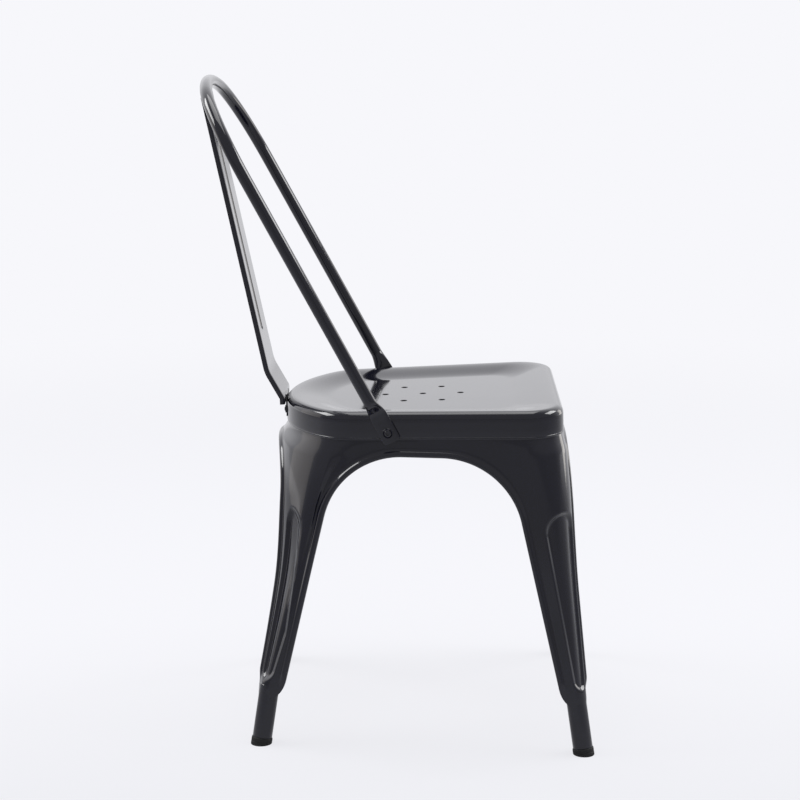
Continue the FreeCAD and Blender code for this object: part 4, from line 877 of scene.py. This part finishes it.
def crown_limit(x, depth):
    """How far up the splat's face a column may run before it meets the crown tube."""
    to_plane = HOOP.inverted() @ SEAT
    low, high = PANEL_HIGH, REACH
    for _ in range(30):
        rise = (low + high) / 2
        y = KNEE[0] + rise * sin(SPLAT_TURN) + depth * cos(SPLAT_TURN)
        z = KNEE[1] + rise * cos(SPLAT_TURN) - depth * sin(SPLAT_TURN)
        at = to_plane @ Vector((x, y, z))
        radial = sqrt(at.x ** 2 + (at.y - CROWN_Y) ** 2)
        clear = sqrt((radial - CROWN_R) ** 2 + at.z ** 2) > TUBE + 0.2
        if clear and radial < CROWN_R - lerp(TUBE / 2, TUBE * 1.3, depth / SPLAT_FLANGE):
            low = rise
        else:
            high = rise
    return low


def back_splat():
    rows, across = splat_line(), splat_section()
    limits = [crown_limit(x, depth) for x, depth in across]
    trim = PANEL_HIGH + 12
    bm = bmesh.new()
    for vert, i, j in sheet_grid(bm, len(across), len(rows)):
        x, depth = across[i]
        y, z, turn, rise = rows[j]
        if rise > trim:
            rise = lerp(trim, limits[i], (rise - trim) / (REACH - trim))
            y, z = KNEE[0] + rise * sin(SPLAT_TURN), KNEE[1] + rise * cos(SPLAT_TURN)
        if rise and abs(depth) < 0.01:
            depth = -panel_rise(x, rise)
        vert.co = (x, y + depth * cos(turn), z - depth * sin(turn))
    on_front = Vector((0, 220, 130))
    face_sheet(bm, (0, -1, 0), lambda middle: (middle - on_front).length)
    place(bm, SEAT)
    finish_piece(bm, "back_splat_channel", PAINT, ["back_splat"], solid=SPLAT_THICK, sharp=60)
    # the tab that carries the splat, pressed to the curve of the seat's back
    bm = bmesh.new()
    curve, columns, rows = BACK_CURVE + SPLAT_THICK, 25, 17
    for vert, i, j in sheet_grid(bm, columns, rows):
        x = lerp(-TAB_HALF, TAB_HALF, i / (columns - 1))
        z = lerp(-TAB_DROP, 0.0, j / (rows - 1))
        low = max(0.0, TAB_CORNER - (z + TAB_DROP))
        x *= 1 - (TAB_CORNER - sqrt(TAB_CORNER ** 2 - low ** 2)) / TAB_HALF
        vert.co = (x, BACK_Y + sqrt(curve ** 2 - x ** 2), z)
    face_sheet(bm, (0, 1, 0), lambda middle: -middle.y)
    place(bm, SEAT)
    finish_piece(bm, "back_splat_tab", PAINT, solid=SPLAT_THICK - 0.02, sharp=60)


# Fasteners: button-head socket screws, a domed rivet, and the CAD's own nuts, washers and bars.
def spun(profile):
    """A form turned about z from its (radius, height) profile."""
    bm = bmesh.new()
    verts = [bm.verts.new((r, 0, z)) for r, z in profile]
    edges = [bm.edges.new((verts[i], verts[i + 1])) for i in range(len(verts) - 1)]
    bmesh.ops.spin(bm, geom=verts + edges, cent=(0, 0, 0), axis=(0, 0, 1), angle=2 * pi, steps=FACETS,
                   use_merge=True)
    bmesh.ops.remove_doubles(bm, verts=bm.verts, dist=0.001)
    return bm


def add_part(bm, part, matrix):
    """Put one more part into a piece at its place."""
    place(part, matrix)
    mesh = bpy.data.meshes.new("part")
    part.to_mesh(mesh)
    part.free()
    bm.from_mesh(mesh)
    bpy.data.meshes.remove(mesh)


def dome(width, height, stop):
    """Profile of a domed head, from its eased rim up to the radius stop."""
    ball, ease, steps = (width ** 2 / 4 + height ** 2) / (2 * height), 0.2, 10
    points = [(width / 2 - ease, 0.0), (width / 2, ease)]
    for i in range(1, steps + 1):
        a = lerp(asin(width / 2 / ball), asin(stop / ball), i / steps)
        points.append((ball * sin(a), height - ball + ball * cos(a)))
    return points


def button_bolt(head, height, socket, shank, reach):
    """A button-head screw with its flange, looking up z, from sizes in millimetres."""
    profile = [(0.0, -reach), (shank / 2 - 0.5, -reach), (shank / 2, 0.5 - reach), (shank / 2, 0.0)]
    steps = ((-0.1, 0.0), (0.2, 0.3), (0.2, 0.9), (-0.1, 1.25), (-0.6, 1.3), (-1.0, 1.0))
    flange = [(head / 2 + step, z) for step, z in steps]
    crown = dome(head - 2.2, height, socket * 0.66)[2:]
    bm = spun(profile + flange + crown)
    top = max(v.co.z for v in bm.verts)
    rim = [e for e in bm.edges if e.is_boundary and all(v.co.z > top - 0.001 for v in e.verts)]
    for drop in (0.25, 1.9):

        def to_hexagon(vert):
            a = atan2(vert.co.y, vert.co.x)
            r = socket / 2 / cos((a + pi / 6) % (pi / 3) - pi / 6)
            return Vector((r * cos(a), r * sin(a), top - drop))

        rim = ring_extrude(bm, rim, to_hexagon)
    bmesh.ops.contextual_create(bm, geom=rim)
    return bm


def bolt_places():
    """Places on the skirt for the hoop's and the splat's bolts, left and right."""
    up = Vector((0, 0, 1))
    hoop, splat = [], []

    def screw_place(at, out, lift):
        turned = Matrix((up.cross(out), up, out)).transposed().to_4x4()
        return SEAT @ Matrix.Translation(at + out * lift) @ turned

    for side in (1, -1):
        out = Vector((cos(TAPER) * side, sin(TAPER), 0))
        at = Vector((BOLT_SIDE * side, BOLT_BACK, -BOLT_DROP))
        hoop.append(screw_place(at, out, TONGUE_THICK))
        x = SPLAT_BOLT_X * side
        out = Vector((x / BACK_CURVE, sqrt(1 - (x / BACK_CURVE) ** 2), 0))
        at = Vector((x, BACK_Y + sqrt(BACK_CURVE ** 2 - x ** 2), -SPLAT_BOLT_DROP))
        splat.append(screw_place(at, out, SPLAT_THICK))
    return hoop, splat


HOOP_SCREW = {"head": 13.0, "height": 3.35, "socket": 4.0, "shank": 6.0, "reach": 16.7}
SPLAT_SCREW = {"head": 10.0, "height": 2.75, "socket": 3.0, "shank": 5.0, "reach": 10.6}


def fasteners():
    hoop, splat = bolt_places()
    for name, places, sizes, node_name in (
            ("hoop_button_screws", hoop, HOOP_SCREW, "hoop_bolts"),
            ("splat_button_screws", splat, SPLAT_SCREW, "splat_bolts")):
        bm = bmesh.new()
        for at in places:
            add_part(bm, button_bolt(**sizes), at)
        finish_piece(bm, name, PAINT, [node_name], sharp=32)
    profile = dome(RIVET_HEAD, RIVET_RISE, 0.0)
    low = [(r, -RIVET_GRIP - z) for r, z in profile]
    shank = [(RIVET_SHANK, -RIVET_GRIP), (RIVET_SHANK, 0.0)]
    bm = spun(list(reversed(low)) + shank + profile)
    place(bm, SEAT @ Matrix.Translation((0, CROSS_Y, -BRACE_DROP + BRACE_THICK)))
    finish_piece(bm, "brace_domed_rivet", PAINT, ["brace_rivet"], sharp=32)


# Glides: a moulded cup with a rounded lip round each tube's end, worn flat on the floor.
def glides():
    profile = [(0.0, 33.0), (9.8, 33.0), (11.0, 31.4), (11.0, 27.0), (10.4, 26.2), (10.4, 24.6), (11.0, 23.8),
               (11.0, 18.0), (10.4, 17.2), (10.4, 15.6), (11.0, 14.8), (11.0, 8.6), (12.5, 8.55), (13.2, 8.2),
               (13.6, 7.4), (13.7, 6.2), (13.7, 3.6), (13.35, 3.2), (13.35, 2.7), (13.7, 2.3), (13.7, -1.5),
               (13.2, -6.0), (0.0, -6.0)]
    for corner, side, word in LEGS:
        bm = spun(profile)
        place(bm, foot_axis(corner))
        cut = bmesh.ops.bisect_plane(bm, geom=all_of(bm), plane_co=(0, 0, 0), plane_no=(0, 0, -1),
                                     clear_outer=True)
        bmesh.ops.contextual_create(bm, geom=edges_in(cut["geom_cut"]))
        to_side(bm, side)
        name = "glide_%s_%s" % (corner, word)
        finish_piece(bm, name + "_boot", RUBBER, [name], sharp=38)


def dress_nodes():
    """The solids' own nuts, washers and bars show as they are, in their finishes."""
    finishes = {"hoop_washers": ZINC, "hoop_nuts": ZINC, "splat_nuts": ZINC, "brace_bar_upper": PAINT,
                "brace_bar_lower": PAINT}
    for name, material in finishes.items():
        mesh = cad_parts[name].data
        mesh.materials.clear()
        mesh.materials.append(material)


seat_pan()
legs()
back_hoop()
back_splat()
fasteners()
glides()
dress_nodes()


# Studio: a pale sweep, one soft box above the chair, two at its front and two at its rear.
EASE = "SMOOTHSTEP"


def camera_or(tree, *levels):
    """1 for camera rays, and the highest of the given levels for the others."""
    found = node(tree, "LightPath").outputs["Is Camera Ray"]
    for level in levels:
        found = node(tree, "Math", {"operation": "MAXIMUM"}, (found, level))
    return found


def seen_rays(tree):
    """1 for camera, glossy and transmission rays: what the eye and the paint's gloss see."""
    rays = node(tree, "LightPath").outputs
    return camera_or(tree, rays["Is Glossy Ray"], rays["Is Transmission Ray"])


def sweep():
    material, tree, place_at = new_material("pale_studio_sweep")
    apart = node(tree, "VectorMath", {"operation": "LENGTH"}, Vector=place_at).outputs["Value"]
    along = node(tree, "SeparateXYZ", Vector=place_at).outputs["X"]
    # painted shade: the floor is coloured a little greyer near the chair, on the side towards the camera
    painted_shade_side = node(tree, "MapRange", span(-1.2, 0.1, ease=EASE), Value=along)
    away = node(tree, "MapRange", span(1.0, 1.8, ease=EASE), Value=apart)
    pale = node(tree, "Math", {"operation": "MAXIMUM"}, (painted_shade_side, away))
    # this ramp paints that shade into the floor's colour, which the camera also sees through the glow
    tone = node(tree, "ValToRGB", {"tones": ("#e3e4e9", "#f7f7fb")}, Fac=pale)
    paper = node(tree, "BsdfDiffuse", Color=tone)
    # painted reflection: for glossy rays the floor glows dim under the chair and on the camera side, and
    # brighter beyond it, by position alone
    lit = node(tree, "MapRange", span(0.5, 3.0, 0.28, 0.78, EASE), Value=along)
    glow = node(tree, "Emission", Color=tone, Strength=camera_or(tree, lit))
    # near the chair a fifth of the paper's own shading stays, for the shadow
    far = node(tree, "MapRange", span(1.2, 3.0, 0.8, 1.0, EASE), Value=apart)
    share = node(tree, "Math", {"operation": "MULTIPLY"}, (seen_rays(tree), far))
    blend = node(tree, "MixShader", (), (share, paper, glow))
    node(tree, "OutputMaterial", Surface=blend)
    bm = bmesh.new()
    bmesh.ops.create_grid(bm, x_segments=1, y_segments=1, size=14.0)
    mesh = bpy.data.meshes.new("studio_floor")
    bm.to_mesh(mesh)
    bm.free()
    mesh.materials.append(material)
    floor = bpy.data.objects.new("studio_floor", mesh)
    bpy.context.scene.collection.objects.link(floor)


def soft_box(name, at, aim, wide, high, watts, tint="#ffffff"):
    lamp = bpy.data.lights.new(name, "AREA")
    lamp.shape = "RECTANGLE"
    lamp.size, lamp.size_y = wide, high
    lamp.energy = watts
    lamp.color = linear(tint)[:3]
    holder = bpy.data.objects.new(name, lamp)
    holder.location = at
    holder.rotation_euler = (Vector(aim) - Vector(at)).to_track_quat("-Z", "Y").to_euler()
    holder.visible_camera = False
    bpy.context.scene.collection.objects.link(holder)


def studio_world():
    world = bpy.data.worlds.new("studio_air")
    bpy.context.scene.world = world
    world.use_nodes = True
    tree = world.node_tree
    tree.nodes.clear()
    ambient = node(tree, "Background", {"Color": linear("#f2f4fa"), "Strength": 0.55})
    # the front of the studio, behind the camera, is unlit: gloss sees it dark and the sweep white
    way = node(tree, "SeparateXYZ", Vector=node(tree, "TexCoord").outputs["Generated"])
    lit = node(tree, "MapRange", span(-0.15, 0.85, 0.3, 0.92, EASE), Value=way.outputs["X"])
    # and dimmer near the horizon than above it
    up = node(tree, "MapRange", span(-0.02, 0.2, 0.72, 1.0, EASE), Value=way.outputs["Z"])
    dimmed = node(tree, "Math", {"operation": "MULTIPLY"}, (lit, up))
    white = node(tree, "Background", {"Color": linear("#f7f7fb")}, Strength=camera_or(tree, dimmed))
    mix = node(tree, "MixShader", (), (seen_rays(tree), ambient, white))
    node(tree, "OutputWorld", Surface=mix)


def camera():
    """A long lens on the sitter's right, a little higher than the hoop."""
    lens = bpy.data.cameras.new("camera")
    lens.sensor_width, lens.lens, lens.clip_end = 36.0, 94.29, 60.0
    holder = bpy.data.objects.new("camera", lens)
    holder.location = (-2.7595, -0.0411, 0.9928)
    pitch, yaw = radians(11.67), 0.0141
    way = Vector((cos(pitch) * cos(yaw), cos(pitch) * sin(yaw), -sin(pitch)))
    holder.rotation_euler = way.to_track_quat("-Z", "Y").to_euler()
    bpy.context.scene.collection.objects.link(holder)
    bpy.context.scene.camera = holder


sweep()
studio_world()
soft_box("overhead_box", (0.3, 0.0, 2.6), (0, 0, 0.4), 1.4, 1.6, 12)
soft_box("front_high_box", (0.3, -1.95, 2.0), (0, 0, 0.45), 1.5, 0.9, 20)
soft_box("rear_high_box", (0.3, 1.95, 2.0), (0, 0, 0.45), 1.5, 0.9, 20)
soft_box("front_side_box", (1.6, -2.3, 0.8), (0, 0, 0.5), 0.8, 1.5, 5, "#fffaf2")
soft_box("rear_side_box", (0.8, 2.6, 0.8), (0, 0, 0.5), 1.4, 1.5, 1.6, "#fff4e6")
camera()
bpy.context.scene.view_settings.view_transform = "Standard"
